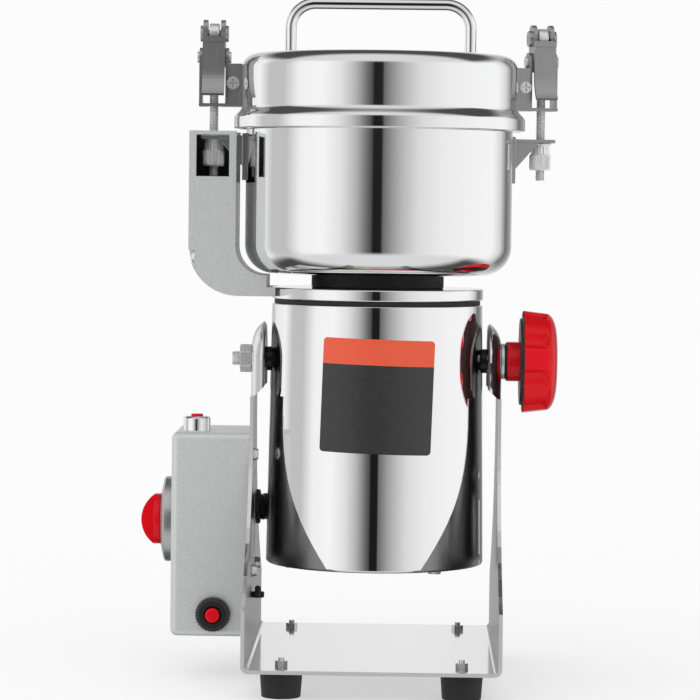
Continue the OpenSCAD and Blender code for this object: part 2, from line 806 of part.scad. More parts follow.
// Two crossed cutting blades, with the spacers below them
module grinding_blades() color("gainsboro") place() {
    translate([0, 0, blade_low]) blade(blade_r);
    translate([0, 0, blade_low + blade_step]) rotate([0, 0, 90]) blade(blade_upper_r);
    for (ends = [
        [bowl_z + bowl_wall + slide_gap, blade_low], [blade_low + blade_t, blade_low + blade_step]
    ]) difference() {
        z_rod(ends[0], ends[1], blade_hub_d / 2);
        z_rod(ends[0] - over, ends[1] + over, shaft_d / 2);
    }
}

module blade_nut() color("silver") place() translate([0, 0, blade_top])
    hex_nut(blade_nut_af, blade_nut_h, blade_thread_d / 2);

// Bowl, lid and handle

skirt_h = 5.5;
flare_rise = 6;
flare_steps = 8;
seal_h = 4;
seal_w = 4;
skirt_top = lid_z + skirt_h;
flare_top = skirt_top + flare_rise;
handle_weld_d = 9;
handle_weld_h = 1;

module bowl() color("gainsboro") place() rotate_extrude() {
    centre_r = bowl_r - bowl_corner_r;
    centre_z = bowl_z + bowl_corner_r;
    polygon(concat(
        [[shaft_hole_d / 2, bowl_z]],
        arc(centre_r, centre_z, bowl_corner_r, 270, 360, 8),
        [[bowl_r, bowl_top], [bowl_r - bowl_wall, bowl_top]],
        arc(centre_r, centre_z, bowl_corner_r - bowl_wall, 360, 270, 8),
        [[shaft_hole_d / 2, bowl_z + bowl_wall]]
    ));
}

// The skirt's flare, from the lid's side down to the skirt, drawn in by inset
function flare(inset) = [for (i = [0:flare_steps]) let (t = i / flare_steps)
    [lid_r + (skirt_r - lid_r) * (1 - cos(180 * t)) / 2 - inset, flare_top - flare_rise * t]];

function backwards(points) = [for (i = [len(points) - 1:-1:0]) points[i]];

module lid() color("gainsboro") place() rotate_extrude() {
    centre_r = lid_r - lid_edge_r;
    centre_z = lid_top - lid_edge_r;
    polygon(concat(
        [[0, lid_top]],
        arc(centre_r, centre_z, lid_edge_r, 90, 0, 8),
        flare(0),
        [[skirt_r, lid_z], [skirt_r - bowl_wall, lid_z]],
        backwards(flare(bowl_wall)),
        arc(centre_r, centre_z, lid_edge_r - bowl_wall, 0, 90, 8),
        [[0, lid_top - bowl_wall]]
    ));
}

// Soft ring in the lid that the bowl's rim presses on
module lid_seal() color("white") place() difference() {
    z_rod(bowl_top, bowl_top + seal_h, lid_r - bowl_wall);
    z_rod(bowl_top - over, bowl_top + seal_h + over, lid_r - bowl_wall - seal_w);
}

module handle() color("silver") place() {
    leg_x = handle_span / 2;
    bar_z = lid_top + handle_h - handle_d / 2;
    union() {
        for (side = [0, 1]) mirror([side, 0, 0]) {
            translate([leg_x, 0, 0]) z_rod(lid_top, bar_z - handle_bend_r, handle_d / 2);
            translate([leg_x, 0, 0]) z_rod(lid_top, lid_top + handle_weld_h, handle_weld_d / 2);
            translate([leg_x - handle_bend_r, 0, bar_z - handle_bend_r]) rotate([90, 0, 0])
                rotate_extrude(angle = 90) translate([handle_bend_r, 0]) circle(handle_d / 2);
        }
        translate([0, 0, bar_z]) x_rod(-leg_x + handle_bend_r, leg_x - handle_bend_r, handle_d / 2);
    }
}

// Latches, drawn with +X away from the bowl's axis and +Y backwards

bracket_t = 1.6;
lug_half_d = 6.5;
lug_h = 22.6;
ear_half_d = 5;
rod_slot_w = 7;
lever_gap = 0.25;
cheek_t = 2.4;
cheek_r = 4.6;
cheek_top_r = 4.6;
lever_top_h = 19.7;
lever_front = 8.6;
lever_plate_t = 1.6;
lever_plate_top = 8;
lever_plate_low = 6;
lever_tip_r = 20;
lever_tip_angle = 42;
band_h = 3;
band_t = 0.8;
pin_d = 4;
pin_head_d = 8.5;
pin_head_t = 1.5;
rivet_d = 4;
rivet_head_d = 6;
rivet_head_t = 1.2;
eye_w = 5;
eye_r = 5.5;
rod_l = 75.4;
catch_drop = 13.2;
catch_t = 1.8;
catch_half_d = 8;
catch_back = 5;
catch_out = 94;
catch_plate_h = 23.5;
catch_plate_t = 1.6;
catch_plate_half_d = 9;
catch_lip = 1.2;
gusset_drop = 17;
gusset_reach = 14.5;
gusset_inset = 0.3;
knurl_h = 8.5;
nut_collar_d = 10;
nut_collar_h = 4.9;
nut_washer_h = 0.8;
cross_head_d = 7.2;
cross_head_h = 1.8;
cross_screw_d = 3;
cross_screw_l = 8;
cross_out = 77.4;
cross_up = 12.3;

bracket_z = flare_top;
lever_z = bracket_z + pivot_rise;
pin_z = lever_z + lever_crank;
catch_top = bowl_top - catch_drop;
rod_low = pin_z - rod_l;
gusset_out = bowl_r + gusset_reach;
lever_in = rod_out - lever_w / 2;
lever_out = rod_out + lever_w / 2;
lug_out = lever_in - lever_gap - bracket_t;
ear_out = lever_out + lever_gap + bracket_t;

module at_left() place() mirror([1, 0, 0]) children();
module at_right() place() rotate([0, 0, right_azimuth]) children();
module at_latches() {
    at_left() children();
    at_right() children();
}

module ear_outline() {
    translate([0, lever_z]) circle(ear_half_d);
    polygon([
        [-ear_half_d, bracket_z], [ear_half_d, bracket_z], [ear_half_d, lever_z], [-ear_half_d, lever_z]
    ]);
}

module latch_brackets() color("dimgray") at_latches() difference() {
    union() {
        block([lid_r - bowl_wall, -lug_half_d, bracket_z], [lug_out, lug_half_d, bracket_z + lug_h]);
        block([lug_out - over, -lug_half_d, bracket_z], [ear_out, lug_half_d, bracket_z + bracket_t]);
        along_x(lug_out, lug_out + bracket_t) ear_outline();
        along_x(ear_out - bracket_t, ear_out) ear_outline();
    }
    z_rod(bracket_z - over, bracket_z + lug_h + over, lid_r);
    translate([rod_out, 0, 0]) z_rod(bracket_z - over, bracket_z + bracket_t + over, rod_slot_w / 2);
    block([rod_out - rod_slot_w / 2, 0, bracket_z - over],
          [rod_out + rod_slot_w / 2, lug_half_d + over, bracket_z + bracket_t + over]);
    translate([0, 0, lever_z]) x_rod(lug_out - over, ear_out + over, rivet_d / 2);
    translate([cross_out, 0, bracket_z + cross_up])
        y_rod(-lug_half_d - over, -lug_half_d + cross_screw_l, cross_screw_d / 2);
}

// Stub rivets, one in each ear, so that the rod can pass between them
module lever_rivets() color("silver") at_latches() translate([0, 0, lever_z]) {
    union() {
        x_rod(lug_out - rivet_head_t, lug_out, rivet_head_d / 2);
        x_rod(lug_out, lever_in + cheek_t, rivet_d / 2);
    }
    union() {
        x_rod(lever_out - cheek_t, ear_out, rivet_d / 2);
        x_rod(ear_out, ear_out + rivet_head_t, rivet_head_d / 2);
    }
}

// Two screws in the latch brackets and one in the interlock arm
module cross_screws() color("silver") {
    at_latches() translate([cross_out, -lug_half_d, bracket_z + cross_up]) rotate([90, 0, 0])
        pan_screw(cross_head_d / 2, cross_head_h, cross_screw_d / 2, cross_screw_l);
    at_left() at_arm_screw() translate([arm_out - arm_recess_h, 0, 0]) rotate([0, 90, 0])
        pan_screw(cross_head_d / 2, cross_head_h, cross_screw_d / 2, arm_screw_l);
}

// Side view of a lever's cheek, round its pivot
module cheek_outline() {
    top = lever_top_h - cheek_top_r;
    circle(cheek_r);
    translate([0, top]) circle(cheek_top_r);
    polygon([[-cheek_r, 0], [cheek_r, 0], [cheek_top_r, top], [-cheek_top_r, top]]);
    polygon([
        [0, top], [-lever_front, lever_plate_top + band_h], [-lever_front, -lever_plate_low],
        [-lever_front + lever_plate_t, -lever_plate_low], [0, -cheek_r]
    ]);
}

// Side view of the lever's front plate, whose tip curls forwards
module lever_plate_outline() {
    centre_y = -lever_front - lever_tip_r;
    polygon(concat(
        [[-lever_front + lever_plate_t, lever_plate_top], [-lever_front, lever_plate_top]],
        arc(centre_y, -lever_plate_low, lever_tip_r, 0, -lever_tip_angle, 8),
        arc(centre_y, -lever_plate_low, lever_tip_r + lever_plate_t, -lever_tip_angle, 0, 8)
    ));
}

// A lever and the pin that it carries
module latch_lever() translate([0, 0, lever_z]) {
    difference() {
        union() {
            for (x = [lever_in, lever_out - cheek_t]) along_x(x, x + cheek_t) cheek_outline();
            along_x(lever_in, lever_out) lever_plate_outline();
            block([lever_in, -lever_front - band_t, lever_plate_top],
                  [lever_out, -lever_front + lever_plate_t, lever_plate_top + band_h]);
        }
        x_rod(lever_in - over, lever_out + over, rivet_d / 2 + turn_gap);
        translate([0, 0, lever_crank]) x_rod(lever_in - over, lever_out + over, pin_d / 2);
    }
    translate([0, 0, lever_crank]) union() {
        x_rod(lever_in - pin_head_t, lever_in, pin_head_d / 2);
        x_rod(lever_in, lever_out, pin_d / 2);
        x_rod(lever_out, lever_out + pin_head_t, pin_head_d / 2);
    }
}
module latch_lever_left() color("gray") at_left() latch_lever();
module latch_lever_right() color("gray") at_right() latch_lever();

// Threaded rod with a round eye, hung on the lever's pin
module latch_rod() difference() {
    union() {
        translate([rod_out, 0, 0]) z_rod(rod_low, pin_z, rod_d / 2);
        translate([0, 0, pin_z]) x_rod(rod_out - eye_w / 2, rod_out + eye_w / 2, eye_r);
    }
    translate([0, 0, pin_z]) x_rod(lever_in, lever_out, pin_d / 2 + turn_gap);
}
module latch_rod_left() color("silver") at_left() latch_rod();
module latch_rod_right() color("silver") at_right() latch_rod();

// Knurled nut that pulls up on the bowl's catch
module adjuster_nut() translate([rod_out, 0, 0]) {
    washer_top = catch_top - catch_t - slide_gap;
    collar_top = washer_top - nut_washer_h;
    knurl_top = collar_top - nut_collar_h;
    difference() {
        union() {
            z_rod(collar_top, washer_top, knurl_d / 2);
            z_rod(knurl_top, collar_top, nut_collar_d / 2);
            z_rod(knurl_top - knurl_h, knurl_top, knurl_d / 2);
        }
        z_rod(rod_low - over, pin_z, rod_d / 2 + turn_gap);
    }
}
module adjuster_nut_left() color("silver") at_left() adjuster_nut();
module adjuster_nut_right() color("silver") at_right() adjuster_nut();

// Forked catches on the bowl, open to the back
module bowl_catches() color("silver") at_latches() difference() {
    union() {
        block([bowl_r - bowl_wall, -catch_half_d, catch_top - catch_t], [catch_out, catch_back, catch_top]);
        block([bowl_r - bowl_wall, -catch_plate_half_d, catch_top - catch_plate_h],
              [bowl_r + catch_plate_t, catch_plate_half_d, catch_top + catch_lip]);
        along_y(-catch_half_d + gusset_inset, -catch_half_d + gusset_inset + catch_t) polygon([
            [bowl_r, catch_top - catch_t / 2], [gusset_out, catch_top - catch_t / 2],
            [gusset_out, catch_top - catch_t],
            [bowl_r + catch_plate_t / 2, catch_top - gusset_drop], [bowl_r, catch_top - gusset_drop]
        ]);
    }
    z_rod(catch_top - catch_plate_h - over, catch_top + catch_lip + over, bowl_r);
    translate([rod_out, 0, 0]) z_rod(catch_top - catch_t - over, catch_top + over, rod_slot_w / 2);
    block([rod_out - rod_slot_w / 2, 0, catch_top - catch_t - over],
          [rod_out + rod_slot_w / 2, catch_half_d + over, catch_top + over]);
}

// Interlock arm, a hollow casting beside the bowl on the left

arm_foot_low = 1.2;
arm_foot_gap = 0.9;
arm_foot_out = 58;
arm_top_over = 2.1;
// Radius of the arm's inner corner, under the bowl's edge
arm_inner_r = 15;
arm_well_up = 15.4;
window_h = 21.8;
window_edge = 1;
cover_drop = 3;
cover_gap = 0.1;
// The cover screw's place under the well's floor and behind the arm's front
arm_screw_drop = 6;
arm_screw_back = 3;
arm_screw_l = 19;
arm_recess_d = 9;
arm_recess_h = 3.5;
switch_l = 20;
switch_w = 10;
switch_h = 15;
plunger_d = 3;
plunger_travel = 1.2;
plunger_clear = 0.5;
arm_foot_top = bowl_z - arm_foot_gap;
arm_well_z = arm_foot_top + arm_well_up;
arm_screw_h = arm_well_z - arm_screw_drop;
window_low = catch_top - window_h;
cover_top = window_low - cover_drop;
arm_top = catch_top + arm_top_over;
rod_back = lever_crank * sin(lever_open);
rod_sink = lever_crank * (1 - cos(lever_open));
plunger_top = rod_low - rod_sink - plunger_clear;

module arm_outline() polygon(concat(
    [[ring_r - arm_wall, ring_z + arm_foot_low]],
    arc(arm_out - arm_corner_r, ring_z + arm_foot_low + arm_corner_r, arm_corner_r, 270, 360, 10),
    [[arm_out, arm_top], [arm_in, arm_top]],
    arc(arm_in - arm_inner_r, arm_foot_top + arm_inner_r, arm_inner_r, 360, 270, 10),
    [[ring_r - arm_wall, arm_foot_top]]
));

module at_arm_screw() translate([0, -arm_d / 2 + arm_screw_back, arm_screw_h]) children();

module interlock_arm() color("silver") at_left() difference() {
    inner = arm_out - arm_wall;
    half = arm_d / 2;
    along_y(-half, half) arm_outline();
    z_rod(ring_z - over, arm_top, ring_r);
    block([0, -arm_d, collar_z], [arm_foot_out, arm_d, arm_foot_top + over]);
    // The well that the latch rod hangs in, open above and towards the bowl
    block([arm_in - over, -half + arm_wall, arm_well_z], [inner, half - arm_wall, arm_top + over]);
    // The front window
    block([arm_in + arm_wall + window_edge, -half - over, window_low],
          [inner - window_edge, -half + arm_wall + over, catch_top]);
    // The recess and the hole of the cover's screw
    at_arm_screw() x_rod(arm_out - arm_recess_h, arm_out + over, arm_recess_d / 2);
    at_arm_screw() x_rod(arm_out - arm_recess_h - arm_screw_l, arm_out, cross_screw_d / 2);
}

// Cover of the well's lower part, on the side that faces the bowl
module arm_inner_cover() color("silver") at_left()
    block([arm_in, -arm_d / 2 + arm_wall + cover_gap, arm_well_z + cover_gap],
          [arm_in + arm_wall, arm_d / 2 - arm_wall - cover_gap, cover_top]);

module interlock_switch() color("#202020") at_left() difference() {
    block([rod_out - switch_w / 2, rod_back - switch_l / 2 - plunger_d, arm_well_z],
          [rod_out + switch_w / 2, rod_back + switch_l / 2 - plunger_d, arm_well_z + switch_h]);
    translate([rod_out, rod_back, 0])
        z_rod(arm_well_z + switch_h / 2, arm_well_z + switch_h + over, plunger_d / 2 + turn_gap);
}

// Pressed down by the latch rod's end when the latch is open
module interlock_plunger() color("crimson") at_left() translate([rod_out, rod_back, 0])
    z_rod(arm_well_z + switch_h / 2 + plunger_travel + slide_gap, plunger_top, plunger_d / 2);

// Clamp knob on the right

star_taper = 1.5;
star_round_h = 5.7;
star_round_r = 13;
star_back_r = 23;
star_back_h = 1.3;
flute_r = 4.5;
flute_depth = 2.6;
flute_l = 13;
flute_turn = 17;
hub_edge_r = 2;
clamp_washer_d = 19;
clamp_stud_in = 5;

// The star's outline over its hub, in (radius, height)
module star_profile() {
    r = star_d / 2;
    flat_r = r - star_taper - star_round_r;
    polygon(concat(
        [[0, 0], [r, 0]],
        [for (i = [0:8]) let (a = 90 * i / 8)
            [flat_r + star_round_r * cos(a), star_h - star_round_h + star_round_h * sin(a)]],
        [[0, star_h]]
    ));
}

module clamp_knob() color("crimson") place() translate([arm_face + washer_t, 0, pivot_h]) rotate([0, 90, 0])
    difference() {
        union() {
            translate([0, 0, star_hub_h]) difference() {
                rotate_extrude() star_profile();
                for (i = [0:star_flutes - 1]) rotate([0, 0, flute_turn + 360 * i / star_flutes])
                    translate([star_d / 2 + flute_r - flute_depth, 0, 0]) {
                        z_rod(-over, flute_l - flute_r, flute_r);
                        translate([0, 0, flute_l - flute_r]) sphere(flute_r);
                    }
            }
            z_rod(star_hub_h - star_back_h, star_hub_h, star_back_r);
            rotate_extrude() polygon(concat(
                [[0, 0]],
                arc(star_hub_d / 2 - hub_edge_r, hub_edge_r, hub_edge_r, 270, 360),
                [[star_hub_d / 2, star_hub_h], [0, star_hub_h]]
            ));
        }
        z_rod(-over, star_hub_h, stud_d / 2);
    }

module clamp_washer() color("silver") place()
    translate([arm_face, 0, pivot_h]) rotate([0, 90, 0]) difference() {
        z_rod(slide_gap / 2, washer_t - slide_gap / 2, clamp_washer_d / 2);
        z_rod(-over, washer_t + over, stud_d / 2 + turn_gap);
    }

// Threaded stud moulded into the knob, which screws into the right pivot boss
module clamp_stud() color("silver") place() translate([0, 0, pivot_h])
    x_rod(housing_top_r - clamp_stud_in, star_x, stud_d / 2);

// Wiring conduit, from the control box round behind the motor into the housing

entry_h = 158;
entry_turn = 112;
entry_in = 6;
entry_out = 8;
gland_flange_d = 18.5;
gland_flange_t = 2;
gland_gap = 0.3;
gland_thread_l = 7;
conduit_bore_r = 5.5;
conduit_rib_h = 0.9;
conduit_sides = 8;
conduit_pitch = 3.2;
// Ends of the conduit's straight stretches, at the stand and at the housing
conduit_start = [-75, conduit_back, conduit_h];
conduit_leave = [gland_flange_t - arm_inside, conduit_back, conduit_h];
entry_dir = [cos(entry_turn), sin(entry_turn), 0];
entry_r = housing_r(entry_h);
conduit_reach = (entry_r + entry_out) * entry_dir + [0, 0, entry_h];
conduit_end = (entry_r - entry_in) * entry_dir + [0, 0, entry_h];
// Points that the loop behind the motor passes through, chosen by hand
conduit_loop = [
    [-54.6, 36.6, 87], [-50, 51.5, 86], [-39.5, 67, 87.5],
    [-26, 78, 96], [-17, 83, 112], [-17, 82, 130], [-22, 74, 147]
];
conduit_route = concat([conduit_leave], conduit_loop, [conduit_reach]);
// Length of the end tangents, as a share of the end spans
end_pull_share = 1;

function unit(v) = v / norm(v);
function route_tangent(i) =
    i == 0 ? norm(conduit_route[1] - conduit_route[0]) * end_pull_share * [1, 0, 0]
    : i == len(conduit_route) - 1
        ? norm(conduit_route[i] - conduit_route[i - 1]) * end_pull_share * -entry_dir
    : (conduit_route[i + 1] - conduit_route[i - 1]) / 2;
// Point at share t of span i, on a cubic through the route's points
function route_at(i, t) =
    (2 * t * t * t - 3 * t * t + 1) * conduit_route[i] + (t * t * t - 2 * t * t + t) * route_tangent(i)
    + (3 * t * t - 2 * t * t * t) * conduit_route[i + 1] + (t * t * t - t * t) * route_tangent(i + 1);
function half_ribs(length) = 2 * max(1, round(length / conduit_pitch));
// Points half a rib's pitch apart, from a to b without b, and along span i
function straight_points(a, b) = let (n = half_ribs(norm(b - a))) [for (i = [0:n - 1]) a + (b - a) * i / n];
function span_points(i) = let (n = half_ribs(norm(conduit_route[i + 1] - conduit_route[i])))
    [for (k = [0:n - 1]) route_at(i, k / n)];
conduit_path = concat(
    straight_points(conduit_start, conduit_leave),
    [for (i = [0:len(conduit_route) - 2]) for (p = span_points(i)) p],
    straight_points(conduit_reach, conduit_end),
    [conduit_end]
);
conduit_last = len(conduit_path) - 1;
function path_tangent(i) = unit(conduit_path[min(i + 1, conduit_last)] - conduit_path[max(i - 1, 0)]);
// A side direction carried along the path without twisting
function carried(i, side) = i > conduit_last ? []
    : let (t = path_tangent(i), s = unit(side - (side * t) * t)) concat([s], carried(i + 1, s));
conduit_sides_dir = carried(0, [0, 0, 1]);
function conduit_ring(i, r) = let (s = conduit_sides_dir[i], w = cross(path_tangent(i), s))
    [for (k = [0:conduit_sides - 1]) let (a = 360 * k / conduit_sides)
        conduit_path[i] + r * (cos(a) * s + sin(a) * w)];

// A ribbed hose with an open bore: every second ring is a rib's crest
module wiring_conduit() color("#181818") place() {
    n = conduit_sides;
    bore_step = 4;
    bore_at = concat([for (i = [0:bore_step:conduit_last - bore_step]) i], [conduit_last]);
    outer = [for (i = [0:conduit_last])
        for (p = conduit_ring(i, conduit_d / 2 - (i % 2 == 0 ? conduit_rib_h : 0))) p];
    inner = [for (i = bore_at) for (p = conduit_ring(i, conduit_bore_r)) p];
    first = len(outer);
    last = first + n * (len(bore_at) - 1);
    tail = n * conduit_last;
    polyhedron(concat(outer, inner), concat(
        [for (i = [0:conduit_last - 1], k = [0:n - 1]) let (a = n * i + k, b = n * i + (k + 1) % n) each
            [[a, a + n, b], [b, a + n, b + n]]],
        [for (i = [0:len(bore_at) - 2], k = [0:n - 1])
            let (a = first + n * i + k, b = first + n * i + (k + 1) % n) each
                [[a, b, a + n], [b, b + n, a + n]]],
        [for (k = [0:n - 1]) let (j = (k + 1) % n) each
            [[k, j, first + k], [j, first + j, first + k],
             [tail + k, last + k, tail + j], [tail + j, last + k, last + j]]]
    ));
}

// A flanged gland on z = 0, with its thread below and its flange above
module gland(thread_l) difference() {
    union() {
        z_rod(0, gland_flange_t, gland_flange_d / 2);
        z_rod(-thread_l, 0, gland_thread_d / 2);
    }
    z_rod(-thread_l - over, gland_flange_t + over, conduit_d / 2 + gland_gap);
}

module stand_gland() color("#2c2c2c") place()
    translate([-arm_inside, conduit_back, conduit_h]) rotate([0, 90, 0]) gland(gland_thread_l);

// The entry's frame: its origin on the housing's wall and +Z straight out
module at_housing_entry() translate([0, 0, entry_h]) rotate([0, 0, entry_turn]) translate([entry_r, 0, 0])
    rotate([0, 90, 0]) children();

module housing_gland() color("#2c2c2c") place() difference() {
    at_housing_entry() translate([0, 0, slide_gap]) gland(entry_in);
    z_rod(entry_h - conduit_d, entry_h + conduit_d, housing_top_r - housing_wall - entry_in);
}

yoke();
rubber_feet();
foot_bolts();
control_box_shell();
control_box_backplate();
box_screws();
timer_dial();
timer_unit();
start_barrel();
start_switch();
reset_ring();
reset_breaker();
terminal_block();
mains_gland();
stand_gland();
housing_gland();
wiring_conduit();
timer_knob();
start_button();
reset_button();
motor_housing();
housing_gasket();
motor_top_ring();
bowl_collar();
rating_plate();
housing_screws();
pivot_bosses();
pivot_stud_left();
pivot_nut_left();
stator_core();
stator_coils();
bearings();
brush_holders();
carbon_brushes();
bowl();
bowl_catches();
lid();
lid_seal();
handle();
latch_brackets();
cross_screws();
lever_rivets();
interlock_arm();
arm_inner_cover();
interlock_switch();
interlock_plunger();
rotor_shaft();
armature();
cooling_fan();
grinding_blades();
blade_nut();
clamp_knob();
clamp_stud();
clamp_washer();
latch_lever_left();
latch_lever_right();
latch_rod_left();
latch_rod_right();
adjuster_nut_left();
adjuster_nut_right();
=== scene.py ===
"""Looks of the electric grain mill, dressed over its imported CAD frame.

Lengths are in millimetres from the bowl's axis, as in the CAD source, and
to_frame turns a finished mesh into the frame's metres.
"""

from math import cos, pi, radians, sin, sqrt, tan

import bmesh
import bpy
from mathutils import Matrix, Vector


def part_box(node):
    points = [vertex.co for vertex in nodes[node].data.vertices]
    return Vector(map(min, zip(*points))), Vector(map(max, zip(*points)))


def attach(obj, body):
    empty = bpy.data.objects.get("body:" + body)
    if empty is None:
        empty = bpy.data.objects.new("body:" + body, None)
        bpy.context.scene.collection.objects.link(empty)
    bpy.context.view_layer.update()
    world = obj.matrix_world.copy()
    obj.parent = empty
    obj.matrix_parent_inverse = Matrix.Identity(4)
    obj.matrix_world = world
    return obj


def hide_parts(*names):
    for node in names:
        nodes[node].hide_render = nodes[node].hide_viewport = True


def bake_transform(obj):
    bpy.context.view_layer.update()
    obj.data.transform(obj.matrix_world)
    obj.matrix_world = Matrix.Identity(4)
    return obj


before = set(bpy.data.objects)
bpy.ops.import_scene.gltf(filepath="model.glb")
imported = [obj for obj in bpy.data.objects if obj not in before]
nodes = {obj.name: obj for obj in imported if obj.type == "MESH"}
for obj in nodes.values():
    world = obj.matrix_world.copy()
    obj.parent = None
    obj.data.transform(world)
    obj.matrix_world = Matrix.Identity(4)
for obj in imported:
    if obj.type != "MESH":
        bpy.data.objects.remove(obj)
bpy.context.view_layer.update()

MM = 0.001
UNTURNED = Matrix.Identity(4)
bowl_low, bowl_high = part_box("bowl")
axis_x = (bowl_low[0] + bowl_high[0]) / 2
to_frame = Matrix.Translation((axis_x, 0, 0)) @ Matrix.Scale(MM, 4)


def span(node):
    """(lowest corner, highest corner) of a CAD node, in millimetres from the bowl's axis."""
    low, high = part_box(node)
    return (
        Vector(((low[0] - axis_x) / MM, low[1] / MM, low[2] / MM)),
        Vector(((high[0] - axis_x) / MM, high[1] / MM, high[2] / MM)),
    )


# Shader node tools


def nodes_of(material):
    """The material's node tree and its shader."""
    material.use_nodes = True
    tree = material.node_tree
    return tree, tree.nodes["Principled BSDF"]


def feed(tree, socket, value):
    """Sets a socket to a constant, or links another socket to it."""
    if isinstance(value, (int, float, tuple)):
        socket.default_value = value
    else:
        tree.links.new(value, socket)


def math_node(tree, operation, *values):
    node = tree.nodes.new("ShaderNodeMath")
    node.operation = operation
    for socket, value in zip(node.inputs, values):
        feed(tree, socket, value)
    return node.outputs["Value"]


def mixed(tree, factor, a, b, kind="RGBA"):
    """a where factor is 0 and b where it is 1."""
    node = tree.nodes.new("ShaderNodeMix")
    node.data_type = kind
    feed(tree, node.inputs["Factor"], factor)
    feed(tree, node.inputs["A"], a)
    feed(tree, node.inputs["B"], b)
    return node.outputs["Result"]


def ramped(tree, value, low, high, smooth=False):
    """0 at low, 1 at high and between them on the way."""
    node = tree.nodes.new("ShaderNodeMapRange")
    node.interpolation_type = "SMOOTHSTEP" if smooth else "LINEAR"
    node.inputs["From Min"].default_value = low
    node.inputs["From Max"].default_value = high
    tree.links.new(value, node.inputs["Value"])
    return node.outputs["Result"]


def coordinates(tree, kind):
    return tree.nodes.new("ShaderNodeTexCoord").outputs[kind]


def axes_of(tree, vector):
    """The X, Y and Z sockets of a vector."""
    node = tree.nodes.new("ShaderNodeSeparateXYZ")
    tree.links.new(vector, node.inputs["Vector"])
    return tuple(node.outputs)


def recolour(tree, principled, factor, colour):
    """Puts a colour over the shader's own as far as factor says."""
    socket = principled.inputs["Base Color"]
    own = socket.links[0].from_socket if socket.links else tuple(socket.default_value)
    tree.links.new(mixed(tree, factor, own, (*colour, 1)), socket)


def reroughen(tree, principled, factor, rough):
    """Puts a roughness over the shader's own noise as far as factor says."""
    socket = principled.inputs["Roughness"]
    own = socket.links[0].from_socket
    tree.links.new(mixed(tree, factor, own, rough, "FLOAT"), socket)


# Materials

# Where between 0 and 1 the noise's darkest and lightest tints lie
TINT_LOW, TINT_HIGH = 0.3, 0.7


def surface(name, colour, metallic=0.0, rough=0.5, grain=60.0, stretch=(1, 1, 1), tint=0.0,
            rough_spread=0.0, bump=0.0, detail=4.0, cells=False, **shader):
    """A procedural finish. grain is the noise's scale per metre, tint and rough_spread are how far
    the noise moves colour and roughness, and bump is its depth in millimetres."""
    material = bpy.data.materials.new(name)
    tree, principled = nodes_of(material)
    made, links = tree.nodes, tree.links
    principled.inputs["Metallic"].default_value = metallic
    principled.inputs["Base Color"].default_value = (*colour, 1)
    principled.inputs["Roughness"].default_value = rough
    for key, value in shader.items():
        principled.inputs[key.replace("_", " ")].default_value = value
    mapping = made.new("ShaderNodeMapping")
    mapping.inputs["Scale"].default_value = stretch
    links.new(coordinates(tree, "Object"), mapping.inputs["Vector"])
    if cells:
        noise = made.new("ShaderNodeTexVoronoi")
        noise.feature = "SMOOTH_F1"
        value = noise.outputs["Distance"]
    else:
        noise = made.new("ShaderNodeTexNoise")
        noise.inputs["Detail"].default_value = detail
        value = noise.outputs["Fac"]
    noise.inputs["Scale"].default_value = grain
    links.new(mapping.outputs["Vector"], noise.inputs["Vector"])
    if tint:
        ramp = made.new("ShaderNodeValToRGB")
        dark, light = ramp.color_ramp.elements
        dark.position, light.position = TINT_LOW, TINT_HIGH
        dark.color = (*[c * (1 - tint) for c in colour], 1)
        light.color = (*[min(1, c * (1 + tint)) for c in colour], 1)
        links.new(value, ramp.inputs["Fac"])
        links.new(ramp.outputs["Color"], principled.inputs["Base Color"])
    if rough_spread:
        spread = made.new("ShaderNodeMapRange")
        spread.inputs["To Min"].default_value = max(0.0, rough - rough_spread)
        spread.inputs["To Max"].default_value = rough + rough_spread
        links.new(value, spread.inputs["Value"])
        links.new(spread.outputs["Result"], principled.inputs["Roughness"])
    if bump:
        height = made.new("ShaderNodeBump")
        height.inputs["Distance"].default_value = bump * MM
        links.new(value, height.inputs["Height"])
        links.new(height.outputs["Normal"], principled.inputs["Normal"])
    return material


mirror_steel = surface("mirror_steel", (0.93, 0.93, 0.935), 1, 0.025, grain=22, rough_spread=0.012,
                       bump=0.006, detail=2)
sheet_steel = surface("sheet_steel", (0.82, 0.82, 0.825), 1, 0.09, grain=25, rough_spread=0.03,
                      bump=0.015, detail=2)
bowl_steel = surface("bowl_steel", (0.93, 0.93, 0.935), 1, 0.06, grain=1, stretch=(30, 30, 2600),
                     rough_spread=0.03, bump=0.0008, detail=3)
plated_steel = surface("plated_steel", (0.76, 0.76, 0.765), 0.65, 0.26, grain=500, tint=0.04,
                       rough_spread=0.08, bump=0.01)
nut_steel = surface("nut_steel", (0.9, 0.9, 0.905), 0.62, 0.29, grain=300, rough_spread=0.05)
latch_steel = surface("latch_steel", (0.40, 0.40, 0.405), 0.9, 0.34, grain=1, stretch=(1400, 1400, 60),
                      tint=0.05, rough_spread=0.06, bump=0.003, detail=3)
hammered_paint = surface("hammered_paint", (0.63, 0.635, 0.64), 0.35, 0.38, grain=2600, tint=0.10,
                         rough_spread=0.08, bump=0.05, cells=True)
black_rubber = surface("black_rubber", (0.011, 0.011, 0.011), 0, 0.62, grain=900, tint=0.25,
                       rough_spread=0.1, bump=0.03)
black_plastic = surface("black_plastic", (0.014, 0.014, 0.015), 0, 0.38, grain=1200, tint=0.2,
                        rough_spread=0.08, bump=0.02)
black_steel = surface("black_steel", (0.03, 0.03, 0.032), 0.6, 0.34, grain=600, tint=0.2,
                      rough_spread=0.08, bump=0.02)
red_plastic = surface("red_plastic", (0.68, 0.002, 0.009), 0, 0.15, grain=45, tint=0.05,
                      rough_spread=0.04, bump=0.03, detail=2, Specular_IOR_Level=0.25)
# A darker copy of the knob's red: painted shade for the knob's back
red_painted_shade = surface("red_painted_shade", (0.045, 0.012, 0.014), 0, 0.4, grain=90, tint=0.1, rough_spread=0.05)
